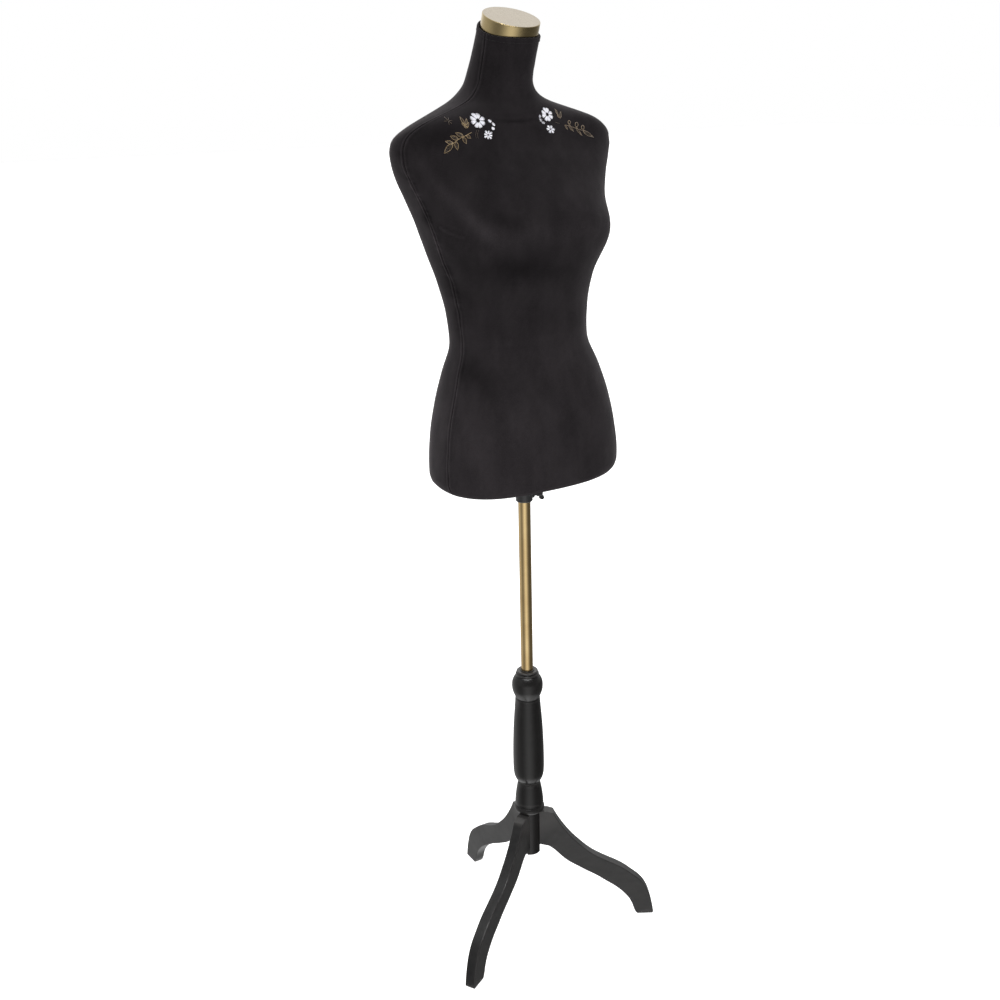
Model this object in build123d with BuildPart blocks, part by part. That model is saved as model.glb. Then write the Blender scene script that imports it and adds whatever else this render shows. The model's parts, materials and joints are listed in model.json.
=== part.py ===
# Dress form: a velvet-covered torso with a tilted neck cap, sliding on a pole that
# stands on a turned baluster, a hub and three S-shaped legs.
# Millimetres.  Everything is drawn round the pole's axis with the floor at z = 0 and
# +Z up.  The figure faces -Y, so +X is its own left.  The export moves the origin to
# the middle of the footprint's box.
from build123d import *
import math
import os

os.makedirs("parts", exist_ok=True)

FOOTPRINT_MID_Y = 55.945

# Radial clearances of round parts
CLOSE_FIT = 0.05
FIT = 0.1

# ---------------------------------------------------------------- stand dimensions
POLE_R, POLE_WALL = 11.0, 1.5
POLE_BORE_R = POLE_R - POLE_WALL
POLE_Z0, POLE_Z1 = 470.0, 1072.0
INSERT_H = 30.0
PLUG_H, PLUG_HEAD_H, PLUG_HEAD_INSET, PLUG_ROUND = 18.0, 4.0, 0.2, 2.0

BALUSTER_Z0, BALUSTER_Z1 = 302.5, 533.5
FERRULE_R, FERRULE_H, FERRULE_ROUND = 13.5, 1.2, 0.5

HUB_Z0, HUB_R = 147.5, 21.0
HUB_DRUM_Z1 = 240.0                       # top of the straight drum the legs join
HUB_FLAT = 18.4                           # flats for the legs, distance from the axis
HUB_FLAT_HALF_W, HUB_FLAT_REACH = 12, 30
RECESS_R, RECESS_H = 17.6, 3.0            # for the retaining plate
PLATE_R, PLATE_BORE_R, PLATE_T = 17.2, 5.4, 2.6
NUT_HOLE_R, NUT_HOLE_H = 5.3, 20.0        # for the sleeve nut's barrel
NUT_R, NUT_H, NUT_HEAD_R, NUT_HEAD_T = 5.0, 17.0, 8.0, 2.0
NUT_BORE_UP = 2.0                         # start of the nut's bore above the hub's bottom
HEX_R, HEX_DEPTH = 2.9, 2.6

ROD_R, ROD_Z1 = 4.0, 490.0
ROD_Z0 = HUB_Z0 + RECESS_H
ROD_HOLE_R = ROD_R + 0.3
END_CHAMFER = 0.8                         # on the tie rod, clamp shank and dowel

LEG_ANGLES = {"leg_back": 90.0, "leg_right": 210.0, "leg_left": 330.0}
LEG_T, LEG_ROUND = 20.0, 1.5
PAD_T, PAD_IN, PAD_OUT, PAD_HALF_W = 2.5, 208.5, 238.0, 8.5

# Dovetail: half width at its inner end and at the flat, inner radius, heights
TAIL_IN, TAIL_OUT, TAIL_R, TAIL_Z0, TAIL_Z1 = 5.4, 4.0, 11.0, 166.5, 232.0
TAIL_OVERRUN = 1                          # tongue and slot run on past the flat

# Leg outline in its own plane: (distance out from the axis, height)
LEG_TOP = [
    (46.0, 233.0), (54.0, 217.0), (66.0, 198.0), (81.0, 178.0), (96.0, 162.0),
    (110.0, 148.5), (125.0, 137.0), (140.0, 128.0), (155.0, 120.0), (170.0, 112.0),
    (185.0, 102.0), (197.0, 92.0), (210.0, 81.0), (220.0, 69.0), (228.0, 54.0),
    (233.0, 39.0), (237.0, 23.0), (240.0, PAD_T),
]
LEG_UNDER = [
    (206.5, PAD_T), (203.5, 8.0), (199.0, 21.0), (192.0, 36.0), (180.0, 51.0),
    (165.0, 65.0), (148.0, 77.0), (130.0, 90.0), (110.0, 102.0), (91.0, 114.0),
    (73.0, 126.0), (59.0, 139.0), (44.0, 154.5), (32.0, 162.5),
]
LEG_END = [(HUB_FLAT, 166.0), (HUB_FLAT, 237.5), (34.0, 237.0)]

# ------------------------------------------------------ clamp and guide dimensions
BASE_Z = 912.0                            # underside of the torso

TUBE_BORE_R, TUBE_R, TUBE_Z0, TUBE_Z1 = 11.4, 13.4, 903.2, 1382.0
BUSH_R, BUSH_Z0, BUSH_Z1 = 12.55, 865.5, 902.5
BUSH_SLIT, BUSH_SLIT_X = 1.6, -POLE_R + 2  # width, and x where the slit ends

SOCKET_R, SOCKET_Z0, SOCKET_CHAMFER = 14.8, 861.0, 1.2
BUSH_SEAT_R, BUSH_SEAT_Z = BUSH_R + CLOSE_FIT, BUSH_Z0 - 0.5
TUBE_SEAT_R, TUBE_SEAT_Z = TUBE_R + FIT, TUBE_Z0 - 0.2
FLANGE_R, FLANGE_T, FLANGE_CHAMFER = 42.0, 4.0, 1.0
FLANGE_Z0 = BASE_Z - FLANGE_T
NECK_SLOPE = 2                            # slope between socket and flange

SCREW_RING_R, SCREW_R, SCREW_L = 31.0, 1.9, 15.0
SCREW_HEAD_R, SCREW_HEAD_T = 3.6, 2.2
SCREW_HOLE_R = SCREW_R + 0.35
CROSS_L, CROSS_W, CROSS_DEPTH = 3.4, 0.9, 1.0

CLAMP_Z, CLAMP_R = 869.0, 3.0
BOSS_R, BOSS_X0, BOSS_X1 = 5.6, BUSH_R + 1.0, 18.5
CLAMP_HOLE_X0, CLAMP_HOLE_L = 5.0, 20.0
SHANK_X0, SHANK_X1 = BUSH_R + CLOSE_FIT, 35.0
WING_X0, WING_X1, WING_HUB_R, WING_T = 27.0, 36.0, 5.0, 3.6
WING_ROOT_X = WING_X0 + 2.5

# ---------------------------------------------------------------- torso dimensions
# height, half width, centre y, half depth, side bend, roundness exponent
TORSO = [
    (912.0, 161.0, -1.0, 109.0, 0.0, 2.25),
    (920.0, 168.0, -1.5, 113.5, 0.0, 2.27),
    (932.0, 171.0, -2.0, 115.0, 0.0, 2.30),
    (950.0, 170.5, -2.0, 115.5, 0.0, 2.33),
    (1000.0, 163.9, 0.0, 115.3, 0.0, 2.38),
    (1050.0, 153.3, 1.7, 109.5, 0.0, 2.38),
    (1100.0, 138.7, 4.1, 98.9, 0.0, 2.30),
    (1150.0, 122.8, 8.9, 90.0, 0.0, 2.10),
    (1200.0, 127.7, 12.6, 89.9, 0.5, 2.03),
    (1250.0, 138.9, 16.0, 99.1, 1.0, 2.05),
    (1300.0, 156.0, 12.5, 111.0, 0.0, 2.20),
    (1340.0, 164.0, 13.5, 117.5, -8.0, 2.30),
    (1380.0, 172.8, 25.0, 115.0, -17.0, 2.30),
    (1410.0, 185.1, 38.5, 106.4, -11.0, 2.30),
    (1440.0, 196.1, 49.9, 93.8, 1.0, 2.28),
    (1460.0, 200.3, 56.5, 84.5, 9.7, 2.23),
    (1475.0, 197.2, 58.5, 79.4, 14.6, 2.20),
    (1490.0, 181.4, 55.5, 75.5, 18.5, 2.15),
    (1502.0, 158.7, 53.0, 72.5, 18.0, 2.15),
    (1515.0, 122.6, 56.0, 70.0, 9.0, 2.10),
    (1535.0, 73.7, 64.0, 62.5, 0.0, 2.00),
    (1560.0, 54.0, 57.5, 58.0, 0.0, 2.00),
    (1600.0, 51.0, 38.2, 56.0, 0.0, 2.00),
    (1640.0, 50.2, 19.2, 55.3, 0.0, 2.00),
    (1680.0, 50.0, 1.0, 55.3, 0.0, 2.00),
]
TORSO_HEIGHTS, *TORSO_COLUMNS = zip(*TORSO)

# Heights of the loft sections, closer together where the shape turns quickly
STATIONS = (
    [912, 914.5, 918, 923, 930, 938]
    + list(range(950, 1430, 15))
    + list(range(1438, 1494, 7))
    + list(range(1498, 1570, 6))
    + list(range(1575, 1670, 15))
    + [1680]
)
RING_POINTS, ARC_POINTS = 28, 17

# Swellings of the front: height and its spread, x and its spread, how far out
BUST_Z, BUST_SPREAD, BUST_X, BUST_W, BUST_OUT = 1338.0, 36.0, 80.0, 36.0, 8.0
CLEFT_SHARE, CLEFT_W = 0.3, 30.0          # hollow on the centre line of the bust
FLANK_Z, FLANK_SPREAD, FLANK_X, FLANK_W, FLANK_OUT = 1323.0, 33.4, 140.0, 34.0, 16.8

COVER_T = 2.5          # velvet cover with its lining
CORE_INSET = 3.5       # foam core below the cover's outer face
MAX_INSET_RATIO = 2.6  # limit on the horizontal step per inset where the wall is flat

# Side and shoulder seam: (height, y)
SEAM = [
    (900, -35), (952, -33), (1006, -28.5), (1073, -25), (1099, -21), (1126, -15.5),
    (1147, -12.5), (1196, -11), (1227, -11), (1267, -13), (1303, -14), (1342, -3),
    (1379, 14), (1437, 25), (1482, 20), (1502, 14), (1516, 20), (1530, 31),
    (1546, 36), (1571, 31), (1600, 20), (1640, 7), (1690, -10),
]
SEAM_HEIGHTS, SEAM_YS = zip(*SEAM)
SEAM_GAP = 0.6
SEAM_SEARCH_ANGLE, SEAM_SEARCH_STEPS = 1.2, 50

LINER_T = 1.5          # cloth under the base board
BOARD_T, BOARD_INSET = 12.0, 4.0
BASE_HOLE_R = TUBE_R + 0.5
CORE_Z0 = BASE_Z + LINER_T + BOARD_T
CORE_FIRST_GAP = 3     # least height between the first two core sections
CORE_BORE_R, CORE_BORE_Z1 = 14.0, 1388.0

# Neck cap, leaning forward; depths are measured down its axis from its top
CAP_TILT = math.radians(22.0)
CAP_TOP_Y, CAP_TOP_Z = 13.5, 1653.2
CAP_R, CAP_T, CAP_ROUND = 46.3, 22.5, 1.2
CAP_SUNK = 5.0         # how far the cap sits inside the neck opening
BLOCK_R, BLOCK_T = 44.0, 16.0
BLOCK_DEPTH = CAP_T + BLOCK_T
DOWEL_R, DOWEL_UP, DOWEL_DOWN = 5.0, 12.0, 14.0


# ------------------------------------------------------------- torso surface
def interpolate(xs, ys, x):
    """Monotone cubic through (xs, ys), straight beyond the ends."""
    last = len(xs) - 1
    steps = [xs[i + 1] - xs[i] for i in range(last)]
    chords = [(ys[i + 1] - ys[i]) / steps[i] for i in range(last)]
    slopes = [0.0] * len(xs)
    slopes[0], slopes[-1] = chords[0], chords[-1]
    for i in range(1, last):
        if chords[i - 1] * chords[i] > 0:
            before = 2 * steps[i] + steps[i - 1]
            after = steps[i] + 2 * steps[i - 1]
            slopes[i] = (before + after) / (before / chords[i - 1] + after / chords[i])
    if x <= xs[0]:
        return ys[0] + slopes[0] * (x - xs[0])
    if x >= xs[-1]:
        return ys[-1] + slopes[-1] * (x - xs[-1])
    i = max(j for j in range(last) if xs[j] <= x)
    t = (x - xs[i]) / steps[i]
    return (
        (2 * t**3 - 3 * t**2 + 1) * ys[i]
        + (t**3 - 2 * t**2 + t) * steps[i] * slopes[i]
        + (3 * t**2 - 2 * t**3) * ys[i + 1]
        + (t**3 - t**2) * steps[i] * slopes[i + 1]
    )


def bell(offset, width):
    return math.exp(-((offset / width) ** 2))


def body_point(z, angle):
    """(x, y) on the torso at height z: a bent superellipse with the front swellings."""
    half_width, centre_y, half_depth, bend, roundness = [
        interpolate(TORSO_HEIGHTS, column, z) for column in TORSO_COLUMNS
    ]
    cosine, sine = math.cos(angle), math.sin(angle)
    power = 2.0 / roundness
    across = math.copysign(abs(cosine) ** power, cosine)
    along = math.copysign(abs(sine) ** power, sine)
    x = half_width * across
    y = centre_y + half_depth * along - bend * across * across
    if sine < 0:
        bust = bell(abs(x) - BUST_X, BUST_W) - CLEFT_SHARE * bell(x, CLEFT_W)
        bust *= BUST_OUT * bell(z - BUST_Z, BUST_SPREAD)
        flank = bell(abs(x) - FLANK_X, FLANK_W)
        flank *= FLANK_OUT * bell(z - FLANK_Z, FLANK_SPREAD)
        # fades smoothly from full at the front to nothing at the sides
        y -= (bust + flank) * sine * sine * (3 + 2 * sine)
    return x, y


def wall_point(z, angle, inset=0.0):
    """(x, y) on the torso wall, moved in so that it lies inset below the surface."""
    x, y = body_point(z, angle)
    if not inset:
        return x, y
    ahead, behind = body_point(z, angle + 1e-3), body_point(z, angle - 1e-3)
    tangent_x, tangent_y = ahead[0] - behind[0], ahead[1] - behind[1]
    length = math.hypot(tangent_x, tangent_y)
    out_x, out_y = tangent_y / length, -tangent_x / length
    # slope of the wall along the outward horizontal direction, over 1 mm of height
    above, below = body_point(z + 0.5, angle), body_point(z - 0.5, angle)
    slope = (above[0] - below[0]) * out_x + (above[1] - below[1]) * out_y
    step = inset * min(math.sqrt(1 + slope * slope), MAX_INSET_RATIO)
    return x - out_x * step, y - out_y * step


def torso_ring(z, inset):
    """Closed curve round the torso; even knots let every section of a loft share them."""
    points = [
        wall_point(z, 2 * math.pi * (i + 0.5) / RING_POINTS, inset) for i in range(RING_POINTS)
    ]
    knots = [i / RING_POINTS for i in range(RING_POINTS + 1)]
    return Edge.make_spline([Vector(x, y) for x, y in points], periodic=True, parameters=knots)


def open_curve(points):
    knots = [i / (len(points) - 1) for i in range(len(points))]
    return Edge.make_spline([Vector(x, y) for x, y in points], parameters=knots)


def cover_arcs(z, side):
    """Points of the outer and inner arcs of one half of the cover, side -1 front
    and 1 back, from one side seam round to the other."""
    seam_y = interpolate(SEAM_HEIGHTS, SEAM_YS, z) + side * SEAM_GAP / 2
    # bisect for the angle at which the wall meets the seam
    low, high = -SEAM_SEARCH_ANGLE, SEAM_SEARCH_ANGLE
    for _ in range(SEAM_SEARCH_STEPS):
        middle = (low + high) / 2
        if body_point(z, middle)[1] < seam_y:
            low = middle
        else:
            high = middle
    if side < 0:
        start, end = math.pi - low, 2 * math.pi + low
    else:
        start, end = low, math.pi - low
    angles = [start + (end - start) * i / (ARC_POINTS - 1) for i in range(ARC_POINTS)]
    outer = [wall_point(z, angle) for angle in angles]
    inner = [wall_point(z, angle, COVER_T) for angle in angles]
    return outer, inner


# ---------------------------------------------------------------- shared helpers
def level(z):
    return Plane.XY.offset(z)


def radial_plane(angle, z):
    """Horizontal plane at height z whose x runs outward at the given angle."""
    turn = math.radians(angle)
    return Plane(origin=(0, 0, z), x_dir=(math.cos(turn), math.sin(turn), 0), z_dir=(0, 0, 1))


def clamp_plane(x):
    """Plane square to the clamp screw's axis."""
    return Plane(origin=(x, 0, CLAMP_Z), x_dir=(0, 1, 0), z_dir=(1, 0, 0))


def cap_plane(depth):
    """Plane square to the neck cap's axis, at a depth below the cap's top."""
    sine, cosine = math.sin(CAP_TILT), math.cos(CAP_TILT)
    return Plane(
        origin=(0, CAP_TOP_Y + sine * depth, CAP_TOP_Z - cosine * depth),
        x_dir=(1, 0, 0),
        z_dir=(0, -sine, cosine),
    )


def trapezoid(x0, half_width0, x1, half_width1):
    """Corners of a four-sided outline symmetric about the x axis."""
    return [(x0, -half_width0), (x1, -half_width1), (x1, half_width1), (x0, half_width0)]


def screw_places():
    return PolarLocations(SCREW_RING_R, 4, start_angle=45)


def tube(plane, outer_r, bore_r, length):
    with BuildPart() as piece:
        with BuildSketch(plane):
            Circle(outer_r)
            Circle(bore_r, mode=Mode.SUBTRACT)
        extrude(amount=length)
    return piece.part


# ----------------------------------------------------------------- the stand
def make_leg_hub():
    with BuildPart() as hub:
        with BuildSketch(Plane.XZ):
            with BuildLine():
                Polyline((ROD_HOLE_R, HUB_Z0), (17.0, HUB_Z0))
                ThreePointArc((17.0, HUB_Z0), (19.8, HUB_Z0 + 1.2), (HUB_R, HUB_Z0 + 4))
                Polyline((HUB_R, HUB_Z0 + 4), (HUB_R, HUB_DRUM_Z1), (26.0, 240.5))
                ThreePointArc((26.0, 240.5), (28.6, 246.5), (26.2, 252.0))
                Polyline((26.2, 252.0), (25.4, 253.0), (27.0, 255.0))
                Spline((27.0, 255.0), (26.2, 268.0), (24.2, 284.0), (21.2, 300.0))
                Polyline(
                    (21.2, 300.0), (20.3, 301.5), (19.9, BALUSTER_Z0),
                    (ROD_HOLE_R, BALUSTER_Z0), (ROD_HOLE_R, HUB_Z0),
                )
            make_face()
        revolve(axis=Axis.Z)
        # recess for the retaining plate, then the hole for the sleeve nut's barrel
        for radius, height in ((RECESS_R, RECESS_H), (NUT_HOLE_R, NUT_HOLE_H)):
            with BuildSketch(level(HUB_Z0)):
                Circle(radius)
            extrude(amount=height, mode=Mode.SUBTRACT)
        flat = trapezoid(HUB_FLAT, HUB_FLAT_HALF_W, HUB_FLAT_REACH, HUB_FLAT_HALF_W)
        slot = trapezoid(
            TAIL_R - 0.4, TAIL_IN + 0.3, HUB_FLAT + TAIL_OVERRUN, TAIL_OUT + 0.2
        )
        # each leg's end stands against a flat; its dovetail slot is open at the bottom
        for angle in LEG_ANGLES.values():
            for outline, top in ((flat, HUB_DRUM_Z1), (slot, TAIL_Z1 + 0.5)):
                with BuildSketch(radial_plane(angle, HUB_Z0)):
                    with BuildLine():
                        Polyline(*outline, close=True)
                    make_face()
                extrude(amount=top - HUB_Z0, mode=Mode.SUBTRACT)
    return hub.part


def make_baluster():
    with BuildPart() as baluster:
        with BuildSketch(Plane.XZ):
            with BuildLine():
                Polyline((ROD_HOLE_R, BALUSTER_Z0), (19.9, BALUSTER_Z0), (20.6, 303.7))
                Spline(
                    (20.6, 303.7), (24.1, 308.5), (27.0, 315.5), (28.7, 327.5), (29.1, 345.0),
                    (29.0, 363.0), (28.5, 386.0), (26.6, 428.0), (24.8, 452.0), (23.0, 477.2),
                )
                Polyline((23.0, 477.2), (22.2, 478.4), (22.2, 479.6), (22.6, 480.6))
                Spline(
                    (22.6, 480.6), (25.7, 488.0), (27.6, 494.0), (28.6, 503.0),
                    (27.9, 511.0), (25.6, 517.5), (22.0, 522.8),
                )
                Polyline(
                    (22.0, 522.8), (21.2, 523.6), (21.6, 524.8), (21.6, 527.4), (20.8, 528.4),
                    (19.3, 529.2), (19.3, 530.2), (19.8, 530.8), (19.6, 532.4),
                    (18.4, BALUSTER_Z1), (POLE_R + CLOSE_FIT, BALUSTER_Z1),
                    (POLE_R + CLOSE_FIT, POLE_Z0), (ROD_HOLE_R, POLE_Z0),
                    (ROD_HOLE_R, BALUSTER_Z0),
                )
            make_face()
        revolve(axis=Axis.Z)
    return baluster.part


def make_pole_ferrule():
    with BuildPart() as ferrule:
        with BuildSketch(level(BALUSTER_Z1)):
            Circle(FERRULE_R)
            Circle(POLE_R + FIT, mode=Mode.SUBTRACT)
        extrude(amount=FERRULE_H)
        top = ferrule.faces().sort_by(Axis.Z)[-1]
        fillet(top.edges().sort_by(SortBy.LENGTH)[-1], FERRULE_ROUND)
    return ferrule.part


def make_pole_top_plug():
    with BuildPart() as plug:
        with BuildSketch(level(POLE_Z1 - PLUG_H)):
            Circle(POLE_BORE_R - FIT)
        extrude(amount=PLUG_H)
        with BuildSketch(level(POLE_Z1)):
            Circle(POLE_R - PLUG_HEAD_INSET)
        extrude(amount=PLUG_HEAD_H)
        fillet(plug.faces().sort_by(Axis.Z)[-1].edges(), PLUG_ROUND)
    return plug.part


def make_tie_rod():
    with BuildPart() as rod:
        with BuildSketch(level(ROD_Z0)):
            Circle(ROD_R)
        extrude(amount=ROD_Z1 - ROD_Z0)
        chamfer(rod.edges().filter_by(GeomType.CIRCLE), END_CHAMFER)
    return rod.part


def make_sleeve_nut():
    with BuildPart() as nut:
        with BuildSketch(level(HUB_Z0 - NUT_HEAD_T)):
            Circle(NUT_HEAD_R)
        extrude(amount=NUT_HEAD_T)
        with BuildSketch(level(HUB_Z0)):
            Circle(NUT_R)
        extrude(amount=NUT_H)
        # bore for the tie rod, out through the top
        with BuildSketch(level(HUB_Z0 + NUT_BORE_UP)):
            Circle(ROD_R + FIT)
        extrude(amount=NUT_H + 3, mode=Mode.SUBTRACT)
        # hexagonal recess in the head
        with BuildSketch(level(HUB_Z0 - NUT_HEAD_T)):
            RegularPolygon(radius=HEX_R, side_count=6)
        extrude(amount=HEX_DEPTH, mode=Mode.SUBTRACT)
    return nut.part


def make_back_leg():
    with BuildPart() as leg:
        with BuildSketch(Plane(origin=(0, 0, 0), x_dir=(0, 1, 0), z_dir=(1, 0, 0))):
            with BuildLine():
                Spline(*LEG_TOP)
                Polyline(LEG_TOP[-1], LEG_UNDER[0])
                Spline(*LEG_UNDER)
                Polyline(LEG_UNDER[-1], *LEG_END, LEG_TOP[0])
            make_face()
        extrude(amount=LEG_T / 2, both=True)
        fillet(leg.edges().filter_by(GeomType.BSPLINE), LEG_ROUND)
        # dovetail tongue that slides up into the hub
        tongue = trapezoid(TAIL_R, TAIL_IN, HUB_FLAT + TAIL_OVERRUN, TAIL_OUT - 0.3)
        with BuildSketch(radial_plane(LEG_ANGLES["leg_back"], TAIL_Z0)):
            with BuildLine():
                Polyline(*tongue, close=True)
            make_face()
        extrude(amount=TAIL_Z1 - TAIL_Z0)
    return leg.part


def turned_leg(back_leg, name):
    with BuildPart() as leg:
        add(back_leg.rotate(Axis.Z, LEG_ANGLES[name] - LEG_ANGLES["leg_back"]))
    return leg.part


def make_foot_pads():
    with BuildPart() as pads:
        for angle in LEG_ANGLES.values():
            with BuildSketch(radial_plane(angle, 0)):
                with BuildLine():
                    Polyline(*trapezoid(PAD_IN, PAD_HALF_W, PAD_OUT, PAD_HALF_W), close=True)
                make_face()
            extrude(amount=PAD_T)
    return pads.part


# ------------------------------------------------------------- clamp and guide
def make_slide_bush():
    height = BUSH_Z1 - BUSH_Z0
    with BuildPart() as bush:
        with BuildSketch(level(BUSH_Z0)):
            Circle(BUSH_R)
            Circle(POLE_R + CLOSE_FIT, mode=Mode.SUBTRACT)
        extrude(amount=height)
        # the slit that lets the bush close on the pole
        slit = trapezoid(-BUSH_R - 1, BUSH_SLIT / 2, BUSH_SLIT_X, BUSH_SLIT / 2)
        with BuildSketch(level(BUSH_Z0)):
            with BuildLine():
                Polyline(*slit, close=True)
            make_face()
        extrude(amount=height, mode=Mode.SUBTRACT)
    return bush.part


def make_pole_socket():
    with BuildPart() as socket:
        with BuildSketch(Plane.XZ):
            with BuildLine():
                Polyline(
                    (TUBE_BORE_R, SOCKET_Z0),
                    (SOCKET_R - SOCKET_CHAMFER, SOCKET_Z0),
                    (SOCKET_R, SOCKET_Z0 + SOCKET_CHAMFER),
                    (SOCKET_R, FLANGE_Z0 - NECK_SLOPE),
                    (SOCKET_R + NECK_SLOPE, FLANGE_Z0),
                    (FLANGE_R - FLANGE_CHAMFER, FLANGE_Z0),
                    (FLANGE_R, FLANGE_Z0 + FLANGE_CHAMFER),
                    (FLANGE_R, BASE_Z),
                    (TUBE_SEAT_R, BASE_Z),
                    (TUBE_SEAT_R, TUBE_SEAT_Z),
                    (BUSH_SEAT_R, TUBE_SEAT_Z),
                    (BUSH_SEAT_R, BUSH_SEAT_Z),
                    (TUBE_BORE_R, BUSH_SEAT_Z),
                    close=True,
                )
            make_face()
        revolve(axis=Axis.Z)
        # boss for the clamp screw, and its hole
        with BuildSketch(clamp_plane(BOSS_X0)):
            Circle(BOSS_R)
        extrude(amount=BOSS_X1 - BOSS_X0)
        with BuildSketch(clamp_plane(CLAMP_HOLE_X0)):
            Circle(CLAMP_R + FIT)
        extrude(amount=CLAMP_HOLE_L, mode=Mode.SUBTRACT)
        with BuildSketch(level(FLANGE_Z0 - 1)):
            with screw_places():
                Circle(SCREW_HOLE_R)
        extrude(amount=FLANGE_T + 2, mode=Mode.SUBTRACT)
    return socket.part


def make_clamp_shank():
    with BuildPart() as shank:
        with BuildSketch(clamp_plane(SHANK_X0)):
            Circle(CLAMP_R)
        extrude(amount=SHANK_X1 - SHANK_X0)
        chamfer(shank.faces().sort_by(Axis.X)[0].edges(), END_CHAMFER)
    return shank.part


def make_clamp_wing():
    # upright plane through the screw's axis: x outward, y up from the axis
    wing_plane = Plane(origin=(0, WING_T / 2, CLAMP_Z), x_dir=(1, 0, 0), z_dir=(0, -1, 0))
    with BuildPart() as wing:
        with BuildSketch(clamp_plane(WING_X0)):
            Circle(WING_HUB_R)
        extrude(amount=WING_X1 - WING_X0)
        with BuildSketch(wing_plane):
            with BuildLine():
                Polyline((WING_ROOT_X, 1), (31.5, 7.5))
                ThreePointArc((31.5, 7.5), (35.6, 12.2), (40.8, 9.8))
                Polyline(
                    (40.8, 9.8), (39.6, 5.5), (WING_X1, 2.5),
                    (WING_X1, -2.5), (39.6, -5.5), (40.8, -9.8),
                )
                ThreePointArc((40.8, -9.8), (35.6, -12.2), (31.5, -7.5))
                Polyline((31.5, -7.5), (WING_ROOT_X, -1), (WING_ROOT_X, 1))
            make_face()
        extrude(amount=WING_T)
        # blind hole for the shank
        with BuildSketch(clamp_plane(WING_X0 - 1)):
            Circle(CLAMP_R + CLOSE_FIT)
        extrude(amount=SHANK_X1 - WING_X0 + 1.1, mode=Mode.SUBTRACT)
    return wing.part


def make_socket_screws():
    with BuildPart() as screws:
        with BuildSketch(level(FLANGE_Z0)):
            with screw_places():
                Circle(SCREW_R)
        extrude(amount=SCREW_L)
        with BuildSketch(level(FLANGE_Z0 - SCREW_HEAD_T)):
            with screw_places():
                Circle(SCREW_HEAD_R)
        extrude(amount=SCREW_HEAD_T)
        # cross recess
        with BuildSketch(level(FLANGE_Z0 - SCREW_HEAD_T)):
            with screw_places():
                Rectangle(CROSS_L, CROSS_W)
                Rectangle(CROSS_W, CROSS_L)
        extrude(amount=CROSS_DEPTH, mode=Mode.SUBTRACT)
    return screws.part


# ------------------------------------------------------------------- the torso
def base_layer(bottom, thickness, screw_hole_r):
    """Flat sheet across the torso's underside, holed for the tube and the screws."""
    with BuildPart() as layer:
        with BuildSketch(level(bottom)):
            with BuildLine():
                add(torso_ring(BASE_Z, BOARD_INSET))
            make_face()
            Circle(BASE_HOLE_R, mode=Mode.SUBTRACT)
            with screw_places():
                Circle(screw_hole_r, mode=Mode.SUBTRACT)
        extrude(amount=thickness)
    return layer.part


def make_torso_core():
    with BuildPart() as core:
        for z in [CORE_Z0] + [s for s in STATIONS if s > CORE_Z0 + CORE_FIRST_GAP]:
            with BuildSketch(level(z)):
                with BuildLine():
                    add(torso_ring(z, CORE_INSET))
                make_face()
        loft(ruled=True)
        split(bisect_by=cap_plane(BLOCK_DEPTH), keep=Keep.BOTTOM)
        # bore for the guide tube, then the dowel's hole
        with BuildSketch(level(CORE_Z0 - 1)):
            Circle(CORE_BORE_R)
        extrude(amount=CORE_BORE_Z1 - CORE_Z0 + 1, mode=Mode.SUBTRACT)
        with BuildSketch(cap_plane(BLOCK_DEPTH)):
            Circle(DOWEL_R + 0.4)
        extrude(amount=-(DOWEL_DOWN + 1.0), mode=Mode.SUBTRACT)
    return core.part


def make_neck_cap():
    with BuildPart() as cap:
        with BuildSketch(cap_plane(CAP_T)):
            Circle(CAP_R)
        extrude(amount=CAP_T)
        fillet(cap.edges().filter_by(GeomType.CIRCLE).sort_by(Axis.Z)[-1], CAP_ROUND)
        with BuildSketch(cap_plane(CAP_T)):
            Circle(DOWEL_R + FIT)
        extrude(amount=DOWEL_UP + 0.5, mode=Mode.SUBTRACT)
    return cap.part


def make_cap_dowel():
    with BuildPart() as dowel:
        with BuildSketch(cap_plane(BLOCK_DEPTH + DOWEL_DOWN)):
            Circle(DOWEL_R)
        extrude(amount=DOWEL_DOWN + BLOCK_T + DOWEL_UP)
        chamfer(dowel.edges().filter_by(GeomType.CIRCLE), END_CHAMFER)
    return dowel.part


def cover_half(side):
    """Front (-1) or back (1) half of the cover, cut off square at the neck."""
    with BuildPart() as cover:
        for z in STATIONS:
            outer, inner = cover_arcs(z, side)
            with BuildSketch(level(z)):
                with BuildLine():
                    add(open_curve(outer))
                    Line(outer[-1], inner[-1])
                    add(open_curve(inner[::-1]))
                    Line(inner[0], outer[0])
                make_face()
        loft(ruled=True)
        split(bisect_by=cap_plane(CAP_T - CAP_SUNK), keep=Keep.BOTTOM)
    return cover.part


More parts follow.
